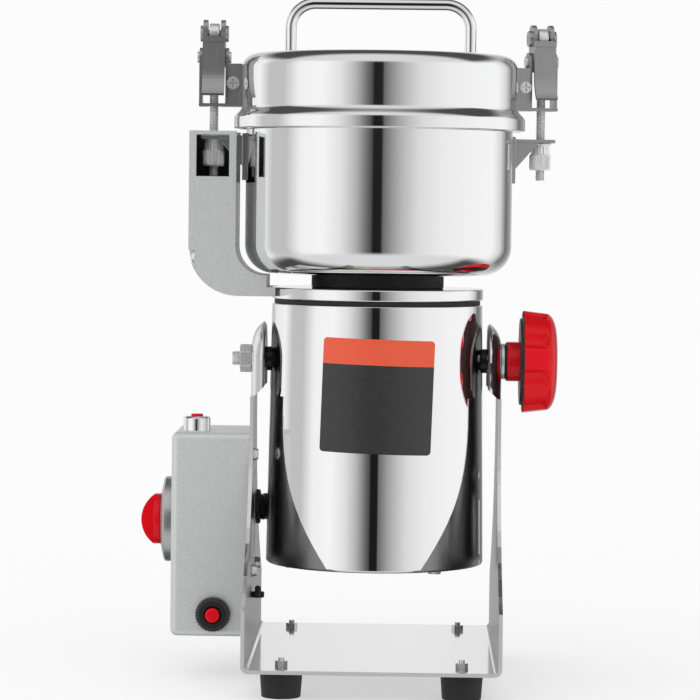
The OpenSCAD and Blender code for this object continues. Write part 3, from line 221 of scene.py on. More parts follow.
dial_metal = surface("dial_metal", (0.55, 0.56, 0.56), 0.9, 0.3, grain=1, stretch=(900, 40, 40),
                     tint=0.06, rough_spread=0.08, bump=0.004)
print_ink = surface("print_ink", (0.03, 0.03, 0.03), 0, 0.5, grain=900, tint=0.2, rough_spread=0.1)
laminations = surface("laminations", (0.22, 0.22, 0.23), 0.8, 0.45, grain=1, stretch=(3, 3, 2000),
                      tint=0.3, rough_spread=0.1, bump=0.1)
copper_wire = surface("copper_wire", (0.62, 0.24, 0.09), 0.9, 0.3, grain=1, stretch=(900, 900, 1400),
                      tint=0.3, rough_spread=0.1, bump=0.3)
white_plastic = surface("white_plastic", (0.78, 0.78, 0.75), 0, 0.4, grain=600, tint=0.04,
                        rough_spread=0.08, bump=0.02)
silicone = surface("silicone", (0.74, 0.74, 0.72), 0, 0.5, grain=300, tint=0.05, rough_spread=0.1,
                   bump=0.02, Subsurface_Weight=0.05)
carbon = surface("carbon", (0.03, 0.03, 0.032), 0.2, 0.55, grain=900, tint=0.3, rough_spread=0.1,
                 bump=0.04)


def matt_edges(material, rough):
    """Makes a sheet's cut edges, which face the front or the back, rougher than its faces."""
    edge_low, edge_high = 0.85, 0.95
    tree, principled = nodes_of(material)
    facing = math_node(tree, "ABSOLUTE", axes_of(tree, coordinates(tree, "Normal"))[1])
    reroughen(tree, principled, ramped(tree, facing, edge_low, edge_high), rough)


def paint_shade_inside(material, colour, rough):
    """Paints shade on the faces of the two arms that look at each other, and roughens them."""
    none_at, full_at = -0.02, -0.035
    tree, principled = nodes_of(material)
    side = axes_of(tree, coordinates(tree, "Object"))[0]
    facing = axes_of(tree, coordinates(tree, "Normal"))[0]
    painted_shade = ramped(tree, math_node(tree, "MULTIPLY", side, facing), none_at, full_at)
    recolour(tree, principled, painted_shade, colour)
    reroughen(tree, principled, painted_shade, rough)


def paint_shade_within(material, low, high, colour):
    """Paints shade on what lies between two corners of the frame."""
    tree, principled = nodes_of(material)
    tests = []
    for axis, least, most in zip(axes_of(tree, coordinates(tree, "Object")), low, high):
        tests.append(math_node(tree, "GREATER_THAN", axis, least))
        tests.append(math_node(tree, "LESS_THAN", axis, most))
    shaded_box = tests[0]
    for test in tests[1:]:
        shaded_box = math_node(tree, "MULTIPLY", shaded_box, test)
    recolour(tree, principled, shaded_box, colour)


def plate_material(band_z, tilt):
    """A dark plate with an orange band above height band_z, in metres, drawn with a slight tilt."""
    orange = (0.76, 0.088, 0.034)
    soft_edge = 0.08 * MM
    material = surface("plate_print", (0.028, 0.028, 0.030), 0, 0.36, grain=400, tint=0.12,
                       rough_spread=0.06)
    tree, principled = nodes_of(material)
    x, _, z = axes_of(tree, coordinates(tree, "Object"))
    # Height of a point over the band's tilted lower edge
    height = math_node(tree, "MULTIPLY_ADD", x, tan(radians(tilt)), z)
    recolour(tree, principled, ramped(tree, height, band_z - soft_edge, band_z + soft_edge), orange)
    return material


matt_edges(sheet_steel, 0.6)
# Painted shade on the arms' inner faces, which are also made rougher
paint_shade_inside(sheet_steel, (0.27, 0.27, 0.273), 0.3)

# Mesh tools

MERGE = 1e-4
SMOOTH_ANGLE = 38
BEVEL_ANGLE = 35


def finish_mesh(name, bm, material, body, replaced=(), sharp=SMOOTH_ANGLE):
    """Turns a bmesh drawn in millimetres into a piece in the frame. It rides on body, if one is
    given, and takes the place of the CAD nodes in replaced."""
    bmesh.ops.remove_doubles(bm, verts=bm.verts, dist=MERGE)
    bmesh.ops.recalc_face_normals(bm, faces=bm.faces)
    bm.transform(to_frame)
    mesh = bpy.data.meshes.new(name)
    bm.to_mesh(mesh)
    bm.free()
    mesh.shade_smooth()
    mesh.set_sharp_from_angle(angle=radians(sharp))
    mesh.materials.append(material)
    piece = bpy.data.objects.new(name, mesh)
    bpy.context.scene.collection.objects.link(piece)
    if body:
        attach(piece, body)
    if replaced:
        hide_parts(*replaced)
    return piece


def add_bevel(piece, width):
    rounding = piece.modifiers.new("Bevel", "BEVEL")
    rounding.width = width * MM
    rounding.segments = 2
    rounding.limit_method = "ANGLE"
    rounding.angle_limit = radians(BEVEL_ANGLE)
    rounding.harden_normals = False
    rounding.use_clamp_overlap = True


def fillet(points, radii, steps=6):
    """An outline's points with its corners rounded. radii gives each corner's radius, or one for all."""
    straight = radians(89)
    count = len(points)
    if not isinstance(radii, (list, tuple)):
        radii = [0] + [radii] * (count - 2) + [0]
    out = []
    for i, (point, radius) in enumerate(zip(points, radii)):
        corner = Vector(point)
        if not radius:
            out.append(corner)
            continue
        before = (Vector(points[i - 1]) - corner).normalized()
        after = (Vector(points[(i + 1) % count]) - corner).normalized()
        half = before.angle(after) / 2
        if half > straight:
            out.append(corner)
            continue
        back = radius / tan(half)
        centre = corner + (before + after).normalized() * (radius / sin(half))
        start, end = corner + before * back - centre, corner + after * back - centre
        turn = start.angle(end)
        for k in range(steps + 1):
            t = k / steps
            out.append(centre + (start * sin((1 - t) * turn) + end * sin(t * turn)) / sin(turn))
    return out


def circle(sides):
    """The angles of a ring's points."""
    return [2 * pi * i / sides for i in range(sides)]


def turned(bm, profile, matrix=UNTURNED, sides=144, closed=False):
    """Turns a profile of (radius, height) points round matrix's Z axis."""
    rings = []
    for radius, height in profile:
        if radius < MERGE:
            rings.append([bm.verts.new(matrix @ Vector((0, 0, height)))])
        else:
            rings.append([bm.verts.new(matrix @ Vector((radius * cos(a), radius * sin(a), height)))
                          for a in circle(sides)])
    pairs = list(zip(rings, rings[1:]))
    if closed:
        pairs.append((rings[-1], rings[0]))
    for a, b in pairs:
        if len(a) == 1 and len(b) == 1:
            continue
        for i in range(sides):
            j = (i + 1) % sides
            if len(a) == 1:
                bm.faces.new((a[0], b[j], b[i]))
            elif len(b) == 1:
                bm.faces.new((a[i], a[j], b[0]))
            else:
                bm.faces.new((a[i], a[j], b[j], b[i]))


def lathe(name, points, radii, material, body, replaced=(), matrix=UNTURNED, sides=144, closed=False,
          steps=6):
    """A piece that is one turned outline with rounded corners."""
    bm = bmesh.new()
    turned(bm, fillet(points, radii, steps), matrix, sides, closed)
    return finish_mesh(name, bm, material, body, replaced)


def joined(bm, rings, capped):
    """Faces between rings of points, and over the first and last of them if capped."""
    for a, b in zip(rings, rings[1:]):
        for i in range(len(a)):
            j = (i + 1) % len(a)
            bm.faces.new((a[i], a[j], b[j], b[i]))
    if capped:
        bm.faces.new(rings[0][::-1])
        bm.faces.new(rings[-1])


def shaped(bm, radius_at, heights, sides, matrix=UNTURNED, capped=True):
    """A round body whose radius is radius_at(angle, height)."""
    rings = [
        [bm.verts.new(matrix @ Vector((radius_at(a, h) * cos(a), radius_at(a, h) * sin(a), h)))
         for a in circle(sides)]
        for h in heights
    ]
    joined(bm, rings, capped)


def carried_frames(path):
    """(point, side, up) along a path, the sides carried along it without twisting."""
    first = (path[1] - path[0]).normalized()
    side = Vector((0, 0, 1)) if abs(first.z) < 0.9 else Vector((0, 1, 0))
    out = []
    for i, point in enumerate(path):
        ahead = (path[min(i + 1, len(path) - 1)] - path[max(i - 1, 0)]).normalized()
        side = (side - side.dot(ahead) * ahead).normalized()
        out.append((point, side, ahead.cross(side)))
    return out


def swept(bm, path, radius_at, sides):
    """A round bar along a path. radius_at(length along it, angle) is its radius."""
    rings = []
    run = 0.0
    for i, (point, side, up) in enumerate(carried_frames(path)):
        if i:
            run += (path[i] - path[i - 1]).length
        rings.append([bm.verts.new(point + radius_at(run, a) * (cos(a) * side + sin(a) * up))
                      for a in circle(sides)])
    joined(bm, rings, True)


def block(bm, low, high, matrix=UNTURNED):
    corners = [Vector((x, y, z)) for x in (low[0], high[0]) for y in (low[1], high[1])
               for z in (low[2], high[2])]
    v = [bm.verts.new(matrix @ c) for c in corners]
    for face in ((0, 1, 3, 2), (4, 6, 7, 5), (0, 4, 5, 1), (2, 3, 7, 6), (0, 2, 6, 4), (1, 5, 7, 3)):
        bm.faces.new([v[i] for i in face])
    return v


def along(start, direction):
    """A frame at start whose Z axis points along direction."""
    z = Vector(direction).normalized()
    return Matrix.Translation(start) @ z.to_track_quat("Z", "Y").to_matrix().to_4x4()


def shifted(x, y, z):
    return Matrix.Translation((x, y, z))


def knurled(outer, depth, count):
    """Radius of a round part with count ridges, at an angle."""
    sharpness = 0.7
    return lambda a: outer - depth * (0.5 + 0.5 * cos(count * a)) ** sharpness


# Painted shade inside the interlock arm's well, from just under the thickness of its walls

WELL_WALL = 2.43 * MM
WELL_UNDER, WELL_RIM = 1 * MM, 0.5 * MM
arm_low, arm_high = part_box("interlock_arm")
cover_low, cover_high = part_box("arm_inner_cover")
paint_shade_within(hammered_paint,
            (arm_low[0] + WELL_WALL, arm_low[1] + WELL_WALL, cover_low[2] - WELL_UNDER),
            (cover_high[0] - WELL_WALL, arm_high[1] - WELL_WALL, arm_high[2] - WELL_RIM),
            (0.02, 0.02, 0.02))

# CAD pieces that keep their shape

CAD_FINISH = {
    sheet_steel: "yoke",
    black_rubber: "rubber_feet",
    plated_steel: "foot_bolts box_screws cross_screws lever_rivets housing_screws pivot_nut_left "
                  "clamp_washer blade_nut rotor_shaft bearings control_box_backplate "
                  "grinding_blades",
    hammered_paint: "interlock_arm arm_inner_cover",
    black_plastic: "timer_unit start_switch reset_breaker interlock_switch mains_gland "
                   "housing_gland brush_holders",
    white_plastic: "terminal_block cooling_fan",
    silicone: "lid_seal",
    laminations: "stator_core armature",
    copper_wire: "stator_coils",
    carbon: "carbon_brushes",
    red_plastic: "interlock_plunger timer_knob",
    latch_steel: "latch_brackets latch_lever_left latch_lever_right bowl_catches",
    black_steel: "pivot_bosses",
    mirror_steel: "start_barrel",
}
CAD_BEVEL = {
    "yoke": 0.25, "rubber_feet": 0.6, "interlock_arm": 0.9, "arm_inner_cover": 0.3,
    "bowl_catches": 0.3, "latch_brackets": 0.3, "latch_lever_left": 0.35,
    "latch_lever_right": 0.35, "timer_knob": 0.6, "pivot_bosses": 0.4, "pivot_nut_left": 0.3,
    "clamp_washer": 0.25, "cross_screws": 0.15, "lever_rivets": 0.2, "start_barrel": 0.2,
    "mains_gland": 0.3, "housing_gland": 0.3, "interlock_plunger": 0.2,
}
WELD_REACH = 0.01 * MM


def dress(node, material, width):
    """Gives a CAD node its finish, with its edges broken by width millimetres."""
    piece = nodes[node]
    for part in piece.material_slots:
        part.material = material
    if not piece.material_slots:
        piece.data.materials.append(material)
    if width:
        weld = piece.modifiers.new("Weld", "WELD")
        weld.merge_threshold = WELD_REACH
        add_bevel(piece, width)


for finish, names in CAD_FINISH.items():
    for node in names.split():
        dress(node, finish, CAD_BEVEL.get(node, 0))

# Motor

SHEET, SHEET_EDGE = 1.2, 0.5
HOUSING_LOW_R, HOUSING_TOP_R = 57.6, 55.7
HOUSING_EDGE, HOUSING_LIP = 1.5, 8
GASKET_HOLE_R, GASKET_EDGE = 30, 0.4
TOP_RING_R, TOP_RING_T = 56, 6
SHAFT_HOLE_R = 8
COLLAR_R = 35

housing_low, housing_high = span("motor_housing")
housing_z, gasket_z = housing_low.z, housing_high.z
collar_z = span("motor_top_ring")[1].z
ring_z = collar_z - TOP_RING_T
bowl_z, bowl_top = (corner.z for corner in span("bowl"))
housing_in_r = HOUSING_TOP_R - SHEET

lathe("housing_shell", [
    (0, housing_z), (HOUSING_LOW_R, housing_z), (HOUSING_TOP_R, gasket_z), (housing_in_r, gasket_z),
    (housing_in_r, gasket_z - HOUSING_LIP),
], [0, HOUSING_EDGE, 0.5, 0.4, 0], mirror_steel, "head", ["motor_housing"], sides=192)
lathe("gasket_ring", [
    (GASKET_HOLE_R, gasket_z), (housing_in_r, gasket_z), (housing_in_r, ring_z), (GASKET_HOLE_R, ring_z),
], GASKET_EDGE, black_rubber, "head", ["housing_gasket"], closed=True)
lathe("top_ring", [
    (SHAFT_HOLE_R, ring_z), (TOP_RING_R, ring_z), (TOP_RING_R, collar_z), (SHAFT_HOLE_R, collar_z),
], [0, 0.7, 0.9, 0], mirror_steel, "head", ["motor_top_ring"], sides=192, closed=True)
lathe("collar_ring", [
    (SHAFT_HOLE_R, collar_z), (COLLAR_R, collar_z), (COLLAR_R, bowl_z), (SHAFT_HOLE_R, bowl_z),
], [0, 0.8, 0.4, 0], black_rubber, "head", ["bowl_collar"], closed=True)

# Height of the plate's orange band in millimetres, and its tilt in degrees
BAND_H, BAND_TILT = 13.7, 1.7
plate_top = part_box("rating_plate")[1][2]
dress("rating_plate", plate_material(plate_top - BAND_H * MM, BAND_TILT), 0)

# Bowl and lid

BOWL_R, BOWL_BEND, BOWL_HOLE_R = 70.5, 15, 7.5
LID_R, LID_BEND = 73, 8
SKIRT_H, FLARE_H, FLARE_STEPS, FLARE_LEAD = 5.5, 6, 12, 1

bowl_in_r, pan_z = BOWL_R - SHEET, bowl_z + SHEET
lathe("bowl_shell", [
    (BOWL_HOLE_R, bowl_z), (BOWL_R, bowl_z), (BOWL_R, bowl_top), (bowl_in_r, bowl_top),
    (bowl_in_r, pan_z), (BOWL_HOLE_R, pan_z),
], [0, BOWL_BEND, SHEET_EDGE, SHEET_EDGE, BOWL_BEND - SHEET, 0], bowl_steel, "head", ["bowl"],
    sides=256, closed=True, steps=12)

lid_low, lid_high = span("lid")
lid_z, lid_top, skirt_r = lid_low.z, lid_high.z, lid_high.x
skirt_top = lid_z + SKIRT_H
flare_top = skirt_top + FLARE_H
lid_in_r, skirt_in_r = LID_R - SHEET, skirt_r - SHEET


def flare_at(t):
    """The flare's outline from the lid's wall, at 0, to the skirt, at 1."""
    return Vector((LID_R + (skirt_r - LID_R) * (1 - cos(pi * t)) / 2, flare_top - FLARE_H * t))


lid = bmesh.new()
turned(lid, (
    fillet([(0, lid_top), (LID_R, lid_top), (LID_R, flare_top + FLARE_LEAD)], LID_BEND, steps=10)
    + [flare_at((k + 1) / FLARE_STEPS) for k in range(FLARE_STEPS)]
    + fillet([(skirt_r, skirt_top - SHEET_EDGE), (skirt_r, lid_z), (skirt_in_r, lid_z),
              (skirt_in_r, skirt_top)], SHEET_EDGE)
    + [Vector(p) for p in ((lid_in_r, flare_top), (lid_in_r, lid_top - LID_BEND),
                           (LID_R - LID_BEND, lid_top - SHEET), (0, lid_top - SHEET))]
), sides=256)
finish_mesh("lid_shell", lid, bowl_steel, "head", ["lid"])

HANDLE_HALF, HANDLE_BEND, HANDLE_R = 47.5, 13, 3
WELD_R, WELD_TOP_R, WELD_H = 4.5, 3.2, 1

bar_z = span("handle")[1].z - HANDLE_R
handle = bmesh.new()
handle_line = fillet([
    (-HANDLE_HALF, 0, lid_top), (-HANDLE_HALF, 0, bar_z), (HANDLE_HALF, 0, bar_z),
    (HANDLE_HALF, 0, lid_top),
], HANDLE_BEND, steps=16)
swept(handle, handle_line, lambda run, a: HANDLE_R, 40)
for side in (-1, 1):
    turned(handle, fillet([
        (0, lid_top), (WELD_R, lid_top), (WELD_TOP_R, lid_top + WELD_H), (0, lid_top + WELD_H),
    ], [0, 0.2, 0.3, 0]), shifted(side * HANDLE_HALF, 0, 0), 48)
finish_mesh("handle_bar", handle, mirror_steel, "head", ["handle"])

# Control box

BOX_ROUND, BOX_ROUND_STEPS = 3.5, 8
TOUCH = 0.01

box_low, box_high = span("control_box_shell")
case = bmesh.new()
block(case, box_low, box_high)
round_edges = [e for e in case.edges
               if not all(abs(v.co.x - box_high.x) < TOUCH for v in e.verts)]
bmesh.ops.bevel(case, geom=round_edges, offset=BOX_ROUND, segments=BOX_ROUND_STEPS, profile=0.5,
                affect="EDGES")
finish_mesh("box_casting", case, hammered_paint, "stand", ["control_box_shell"], sharp=50)

# The dial is a low cone between its rim and the step round its knob
DIAL_RIM_T, DIAL_LIP, DIAL_STEP_R = 5.4, 1, 13.5

dial_low, dial_high = span("timer_dial")
dial_middle = (dial_low + dial_high) / 2
dial_r = (dial_high.y - dial_low.y) / 2
dial_t = dial_high.x - dial_low.x
dial_frame = along((dial_high.x, dial_middle.y, dial_middle.z), (-1, 0, 0))
lathe("dial_plate", [
    (0, 0), (dial_r, 0), (dial_r, DIAL_RIM_T - DIAL_LIP), (dial_r - DIAL_LIP, DIAL_RIM_T),
    (DIAL_STEP_R, dial_t), (0, dial_t),
], [0, 0.3, 0.4, 0.6, 0.2, 0], dial_metal, "stand", ["timer_dial"], dial_frame, 128)

# Minute marks round the dial, longer at every fifth
MARKS, LONG_EVERY, MARKS_FROM, MARK_STEP = 31, 5, -150, 10
MARK_OUT_R, MARK_IN_R, LONG_MARK_IN_R = 18.6, 17.0, 15.6
MARK_HALF, MARK_OVER, MARK_UNDER = 0.22, 0.05, -0.15


def dial_height(r):
    """Height of the dial's cone at a radius."""
    share = (dial_r - DIAL_LIP - r) / (dial_r - DIAL_LIP - DIAL_STEP_R)
    return DIAL_RIM_T + (dial_t - DIAL_RIM_T) * share


marks = bmesh.new()
for i in range(MARKS):
    turn = dial_frame @ Matrix.Rotation(radians(MARKS_FROM + MARK_STEP * i), 4, "Z")
    mark_in_r = MARK_IN_R if i % LONG_EVERY else LONG_MARK_IN_R
    for corner in block(marks, (mark_in_r, -MARK_HALF, 0), (MARK_OUT_R, MARK_HALF, 1)):
        x, y, upper = corner.co
        corner.co = turn @ Vector((x, y, dial_height(x) + (MARK_OVER if upper else MARK_UNDER)))
finish_mesh("dial_marks", marks, print_ink, "stand")

# Reset button in its knurled ring, and start button in its barrel

BEZEL_R, BEZEL_FACE_R, BEZEL_BORE_R, BEZEL_H = 9.25, 7.2, 3.95, 4.0
BEZEL_RIDGES, BEZEL_RIDGE, BEZEL_CHAMFER = 34, 0.55, 0.5
BEZEL_LEVELS, CHAMFER_FROM = [0, 0.01, 2.8, 3.4, BEZEL_H], 2.9
WELL_R, WELL_BOTTOM, BORE_END = 4.6, 2.6, -1
CAP_R, CAP_FOOT_R, CAP_H, CAP_FOOT, CAP_OUT = 3.7, 3.8, 4.4, -1.4, 3.0
START_CAP_R = 3.2

bezel_low, bezel_high = span("reset_ring")
bezel_middle = (bezel_low + bezel_high) / 2
reset_frame = along((bezel_middle.x, box_low.y, bezel_middle.z), (0, -1, 0))
bezel_ridge = knurled(BEZEL_R, BEZEL_RIDGE, BEZEL_RIDGES)


def bezel_radius(a, h):
    if h == BEZEL_H:
        return BEZEL_FACE_R
    return bezel_ridge(a) - (BEZEL_CHAMFER if h > CHAMFER_FROM else 0)


bezel = bmesh.new()
shaped(bezel, bezel_radius, BEZEL_LEVELS, BEZEL_RIDGES * 8, reset_frame, capped=False)
turned(bezel, fillet([
    (BEZEL_FACE_R, BEZEL_H), (WELL_R, BEZEL_H), (BEZEL_BORE_R, WELL_BOTTOM), (BEZEL_BORE_R, BORE_END),
], [0, 0.4, 0.3, 0]), reset_frame, 96)
finish_mesh("reset_bezel", bezel, black_plastic, "stand", ["reset_ring"])
lathe("reset_cap", [(0, CAP_H), (CAP_R, CAP_H), (CAP_FOOT_R, CAP_FOOT), (0, CAP_FOOT)],
      [0, 1.0, 0, 0], red_plastic, "reset_button", ["reset_button"],
      reset_frame @ shifted(0, 0, CAP_OUT), 72)

start_low, start_high = span("start_button")
start_middle = (start_low + start_high) / 2
lathe("start_cap", [
    (0, start_high.z), (START_CAP_R, start_high.z), (START_CAP_R, start_low.z), (0, start_low.z),
], [0, 0.7, 0.2, 0], red_plastic, "start_button", ["start_button"],
    shifted(start_middle.x, start_middle.y, 0), 64)

# Threaded and knurled parts

THREAD_SIDES, THREAD_RINGS, THREAD_DEPTH_SHARE = 24, 6, 0.55


def threaded(bm, outer, pitch, length, matrix):
    """A round bar with a thread on it, along matrix's Z axis from 0 to length."""
    depth = THREAD_DEPTH_SHARE * pitch
    steps = round(length / pitch * THREAD_RINGS)

    def radius(a, h):
        fade = max(0.0, min(1, h / pitch, (length - h) / pitch))
        tooth = abs(((h / pitch - a / (2 * pi)) % 1) * 2 - 1)
        return outer - depth * (1 - (1 - tooth) * fade)

    shaped(bm, radius, [length * k / steps for k in range(steps + 1)], THREAD_SIDES, matrix)


# The rods hang at this distance from the bowl's axis, on pins at this height
ROD_OUT, PIN_Z = 87.7, 340.4
RIGHT_AZIMUTH = radians(12)
ROD_R, ROD_PITCH = 2.5, 0.8
THREAD_END, NECK_LOW, NECK_HIGH = 7, 8, 3
EYE_R, EYE_HOLE_R, EYE_HALF, EYE_EDGE = 5.5, 2.06, 2.5, 0.5
NUT_R, NUT_CHAMFER, CHAMFER_SLOPE = 5.75, 0.55, 1.2
KNURL_H, KNURL_RIDGES, KNURL_DEPTH, KNURL_RINGS = 8.5, 44, 0.35, 10
NECK_R, NECK_RIDGES, NECK_DEPTH = 5.0, 20, 0.25
NECK_FOOT, NECK_WAIST, NECK_TOP = 0.5, 1.4, 1.6
CAP_LOW, CAP_EDGE, CAP_NECK_R = 1.8, 0.8, 4.6


def nut_mesh(low_z, high_z, at):
    """A knurled nut under a ribbed neck with a thin cap."""
    nut = bmesh.new()
    knurl = knurled(NUT_R, KNURL_DEPTH, KNURL_RIDGES)
    top = low_z + KNURL_H

    def radius(a, h):
        nearest_end = min(h - low_z, top - h)
        return min(knurl(a), NUT_R - NUT_CHAMFER + nearest_end * CHAMFER_SLOPE)

    shaped(nut, radius, [low_z + KNURL_H * k / KNURL_RINGS for k in range(KNURL_RINGS + 1)],
           KNURL_RIDGES * 8, at)
    rib = knurled(NECK_R, NECK_DEPTH, NECK_RIDGES)
    shaped(nut, lambda a, h: rib(a), [top - NECK_FOOT, top + NECK_WAIST, high_z - NECK_TOP],
           NECK_RIDGES * 8, at)
    turned(nut, fillet([
        (0, high_z - CAP_LOW), (CAP_NECK_R, high_z - CAP_LOW), (CAP_NECK_R, high_z - CAP_EDGE),
        (NUT_R, high_z - CAP_EDGE), (NUT_R, high_z), (0, high_z),
    ], [0, 0, 0.2, 0.2, 0.2, 0]), at, 64)
    return nut


def rod_mesh(low_z, turn):
    """A threaded rod with an eye round its pin."""
    rod = bmesh.new()
    at_pin = turn @ shifted(ROD_OUT, 0, PIN_Z)
    threaded(rod, ROD_R, ROD_PITCH, PIN_Z - THREAD_END - low_z, turn @ shifted(ROD_OUT, 0, low_z))
    turned(rod, [(0, -NECK_LOW), (ROD_R, -NECK_LOW), (ROD_R, -NECK_HIGH), (0, -NECK_HIGH)], at_pin, 32)
    turned(rod, fillet([
        (EYE_HOLE_R, -EYE_HALF), (EYE_R, -EYE_HALF), (EYE_R, EYE_HALF), (EYE_HOLE_R, EYE_HALF),
    ], EYE_EDGE), at_pin @ Matrix.Rotation(pi / 2, 4, "Y"), 48, closed=True)
    return rod


for hand, azimuth in (("left", pi), ("right", RIGHT_AZIMUTH)):
    turn = Matrix.Rotation(azimuth, 4, "Z")
    rod = rod_mesh(span(f"latch_rod_{hand}")[0].z, turn)
    finish_mesh(f"rod_{hand}_threaded", rod, plated_steel, f"rod_{hand}", [f"latch_rod_{hand}"])
    nut_low, nut_high = span(f"adjuster_nut_{hand}")
    nut = nut_mesh(nut_low.z, nut_high.z, turn @ shifted(ROD_OUT, 0, 0))
    finish_mesh(f"nut_{hand}_knurled", nut, nut_steel, f"nut_{hand}", [f"adjuster_nut_{hand}"])

PIVOT_Z = 169
STUD_R, STUD_PITCH, STUD_FROM = 4.0, 1.25, -60

stud = bmesh.new()
threaded(stud, STUD_R, STUD_PITCH, STUD_FROM - span("pivot_stud_left")[0].x,
         along((STUD_FROM, 0, PIVOT_Z), (-1, 0, 0)))
finish_mesh("stud_threaded", stud, plated_steel, "head", ["pivot_stud_left"])

clamp_low, clamp_high = span("clamp_stud")
clamp_stud = bmesh.new()
threaded(clamp_stud, STUD_R, STUD_PITCH, clamp_high.x - clamp_low.x,
         along((clamp_low.x, 0, PIVOT_Z), (1, 0, 0)))
finish_mesh("clamp_threaded", clamp_stud, plated_steel, "clamp", ["clamp_stud"])

# Star knob

STAR_R, STAR_TAPER, STAR_BACK_EDGE = 27.15, 1.5, 1.2
STAR_ROUND_H, STAR_ROUND_W, STAR_ROUND_STEPS = 5.7, 13, 10
STAR_LEVELS = [0, 0.15, 0.4, 0.8, STAR_BACK_EDGE, 2.5, 4, 5.5, 7, 8.5, 10, 10.8, 11.4, 12, 12.6]
FLUTES, FLUTE_DEPTH, FLUTE_HALF, FLUTE_AZIMUTH = 8, 2.6, 4.6, radians(17)
FLUTE_END, FLUTE_FADE = 13.5, 3.5
HUB_H, HUB_R, HUB_HOLE_R, HUB_SINK, HUB_EDGE = 9.2, 10.5, 4.06, 0.2, 2
BACK_R, BACK_HOLE_R, BACK_T, BACK_EDGE = 23, 10.4, 1.5, 0.5
# How deep the shade goes over the knob's back edge, and how far a face of it may look aside
SHADE_DEPTH, SHADE_FACING = 1.4, -0.35

star_low, star_high = span("clamp_knob")
star_x = star_low.x + HUB_H
star_h = star_high.x - star_x
star_round_from = star_h - STAR_ROUND_H
knob_frame = along((star_low.x, 0, PIVOT_Z), (1, 0, 0))


def star_outline(h):
    """The star's radius at a height over its back, without its flutes."""
    if h < STAR_BACK_EDGE:
        inwards = STAR_BACK_EDGE - h
        return STAR_R - STAR_BACK_EDGE + sqrt(max(0, STAR_BACK_EDGE ** 2 - inwards ** 2))
    if h <= star_round_from:
        return STAR_R - STAR_TAPER * h / star_round_from
    up = (h - star_round_from) / STAR_ROUND_H
    return STAR_R - STAR_TAPER - STAR_ROUND_W + STAR_ROUND_W * sqrt(max(0, 1 - up ** 2))


def star_radius(a, h):
    depth = FLUTE_DEPTH * sqrt(min(1, max(0, (FLUTE_END - h) / FLUTE_FADE)))
    flute_turn = 2 * pi / FLUTES
    near = (a - FLUTE_AZIMUTH) % flute_turn
    near = min(near, flute_turn - near)
    across = near * STAR_R / FLUTE_HALF
    dip = depth * sqrt(1 - across ** 2) if across < 1 else 0
    return star_outline(h) - dip * (0.75 + 0.25 * cos(min(1, across) * pi / 2))


star = bmesh.new()
star_levels = STAR_LEVELS + [star_round_from + STAR_ROUND_H * sin(pi / 2 * (k + 1) / STAR_ROUND_STEPS)
                             for k in range(STAR_ROUND_STEPS)]
shaped(star, star_radius, star_levels, FLUTES * 40, knob_frame @ shifted(0, 0, HUB_H))
turned(star, fillet([(HUB_HOLE_R, 0), (HUB_R, 0), (HUB_R, HUB_H + HUB_SINK)], HUB_EDGE), knob_frame, 96)
knob = finish_mesh("star_knob", star, red_plastic, "clamp", ["clamp_knob"], sharp=50)
# The knob's back faces carry painted shade, a darker copy of its red, so its back is darker than its front
shade_x = (to_frame @ Vector((star_x + SHADE_DEPTH, 0, 0))).x
for face in knob.data.polygons:
    face.material_index = int(face.normal.x < SHADE_FACING and face.center.x < shade_x)
knob.data.materials.append(red_painted_shade)
back_in, back_out = HUB_H + HUB_SINK, HUB_H + HUB_SINK - BACK_T
# The back disc wears the same painted shade
lathe("star_back", [(BACK_HOLE_R, back_in), (BACK_R, back_in), (BACK_R, back_out), (BACK_HOLE_R, back_out)],
      [0, 0, BACK_EDGE, 0], red_painted_shade, "clamp", matrix=knob_frame, sides=128)

# The gland in the left arm, with its nut inside the arm

GLAND_R, GLAND_FACE_R, GLAND_BORE_R, GLAND_NECK_R = 9.25, 8.7, 7.55, 8.15
GLAND_RIDGES, GLAND_RIDGE, GLAND_SIDES = 30, 0.3, 192
GLAND_INNER_X, GLAND_NUT_T, GLAND_FACE_T, GLAND_LIP = -64, 1.7, 2, 0.3

gland_low, gland_high = span("stand_gland")
gland_middle = (gland_low + gland_high) / 2
gland_frame = along((gland_low.x, gland_middle.y, gland_middle.z), (1, 0, 0))
gland_in = GLAND_INNER_X - gland_low.x
gland_ridge = knurled(GLAND_R, GLAND_RIDGE, GLAND_RIDGES)
gland_face = gland_in + GLAND_FACE_T
gland = bmesh.new()
shaped(gland, lambda a, h: gland_ridge(a), [gland_in, gland_in + GLAND_NUT_T], GLAND_SIDES, gland_frame,
       capped=False)
turned(gland, fillet([
    (GLAND_R, gland_in + GLAND_NUT_T), (GLAND_FACE_R, gland_face), (GLAND_BORE_R, gland_face),
    (GLAND_BORE_R, 0),
], [0, 0, GLAND_LIP, 0]), gland_frame, 96)
turned(gland, [(GLAND_NECK_R, 0), (GLAND_NECK_R, gland_in)], gland_frame, 96)
finish_mesh("stand_gland_nut", gland, black_plastic, "stand", ["stand_gland"])

# Wiring conduit

CONDUIT_R, CONDUIT_PITCH, CONDUIT_SIDES = 7.25, 3.6, 28
RIB_DEPTH, RIB_SHARPNESS, RINGS_PER_RIB = 1.2, 1.6, 6
ENTRY_AZIMUTH, ENTRY_H, ENTRY_OUT, ENTRY_IN = radians(112), 158, 8, 6
CONDUIT_FROM_X, CONDUIT_LEAVE_X = -75, -62
SPLINE_STEPS = 40

entry_dir = Vector((cos(ENTRY_AZIMUTH), sin(ENTRY_AZIMUTH), 0))
wide_z = housing_z + HOUSING_EDGE
entry_share = (ENTRY_H - wide_z) / (gasket_z - wide_z)
entry_r = HOUSING_LOW_R + (HOUSING_TOP_R - HOUSING_LOW_R) * entry_share
entry_base = Vector((0, 0, ENTRY_H))
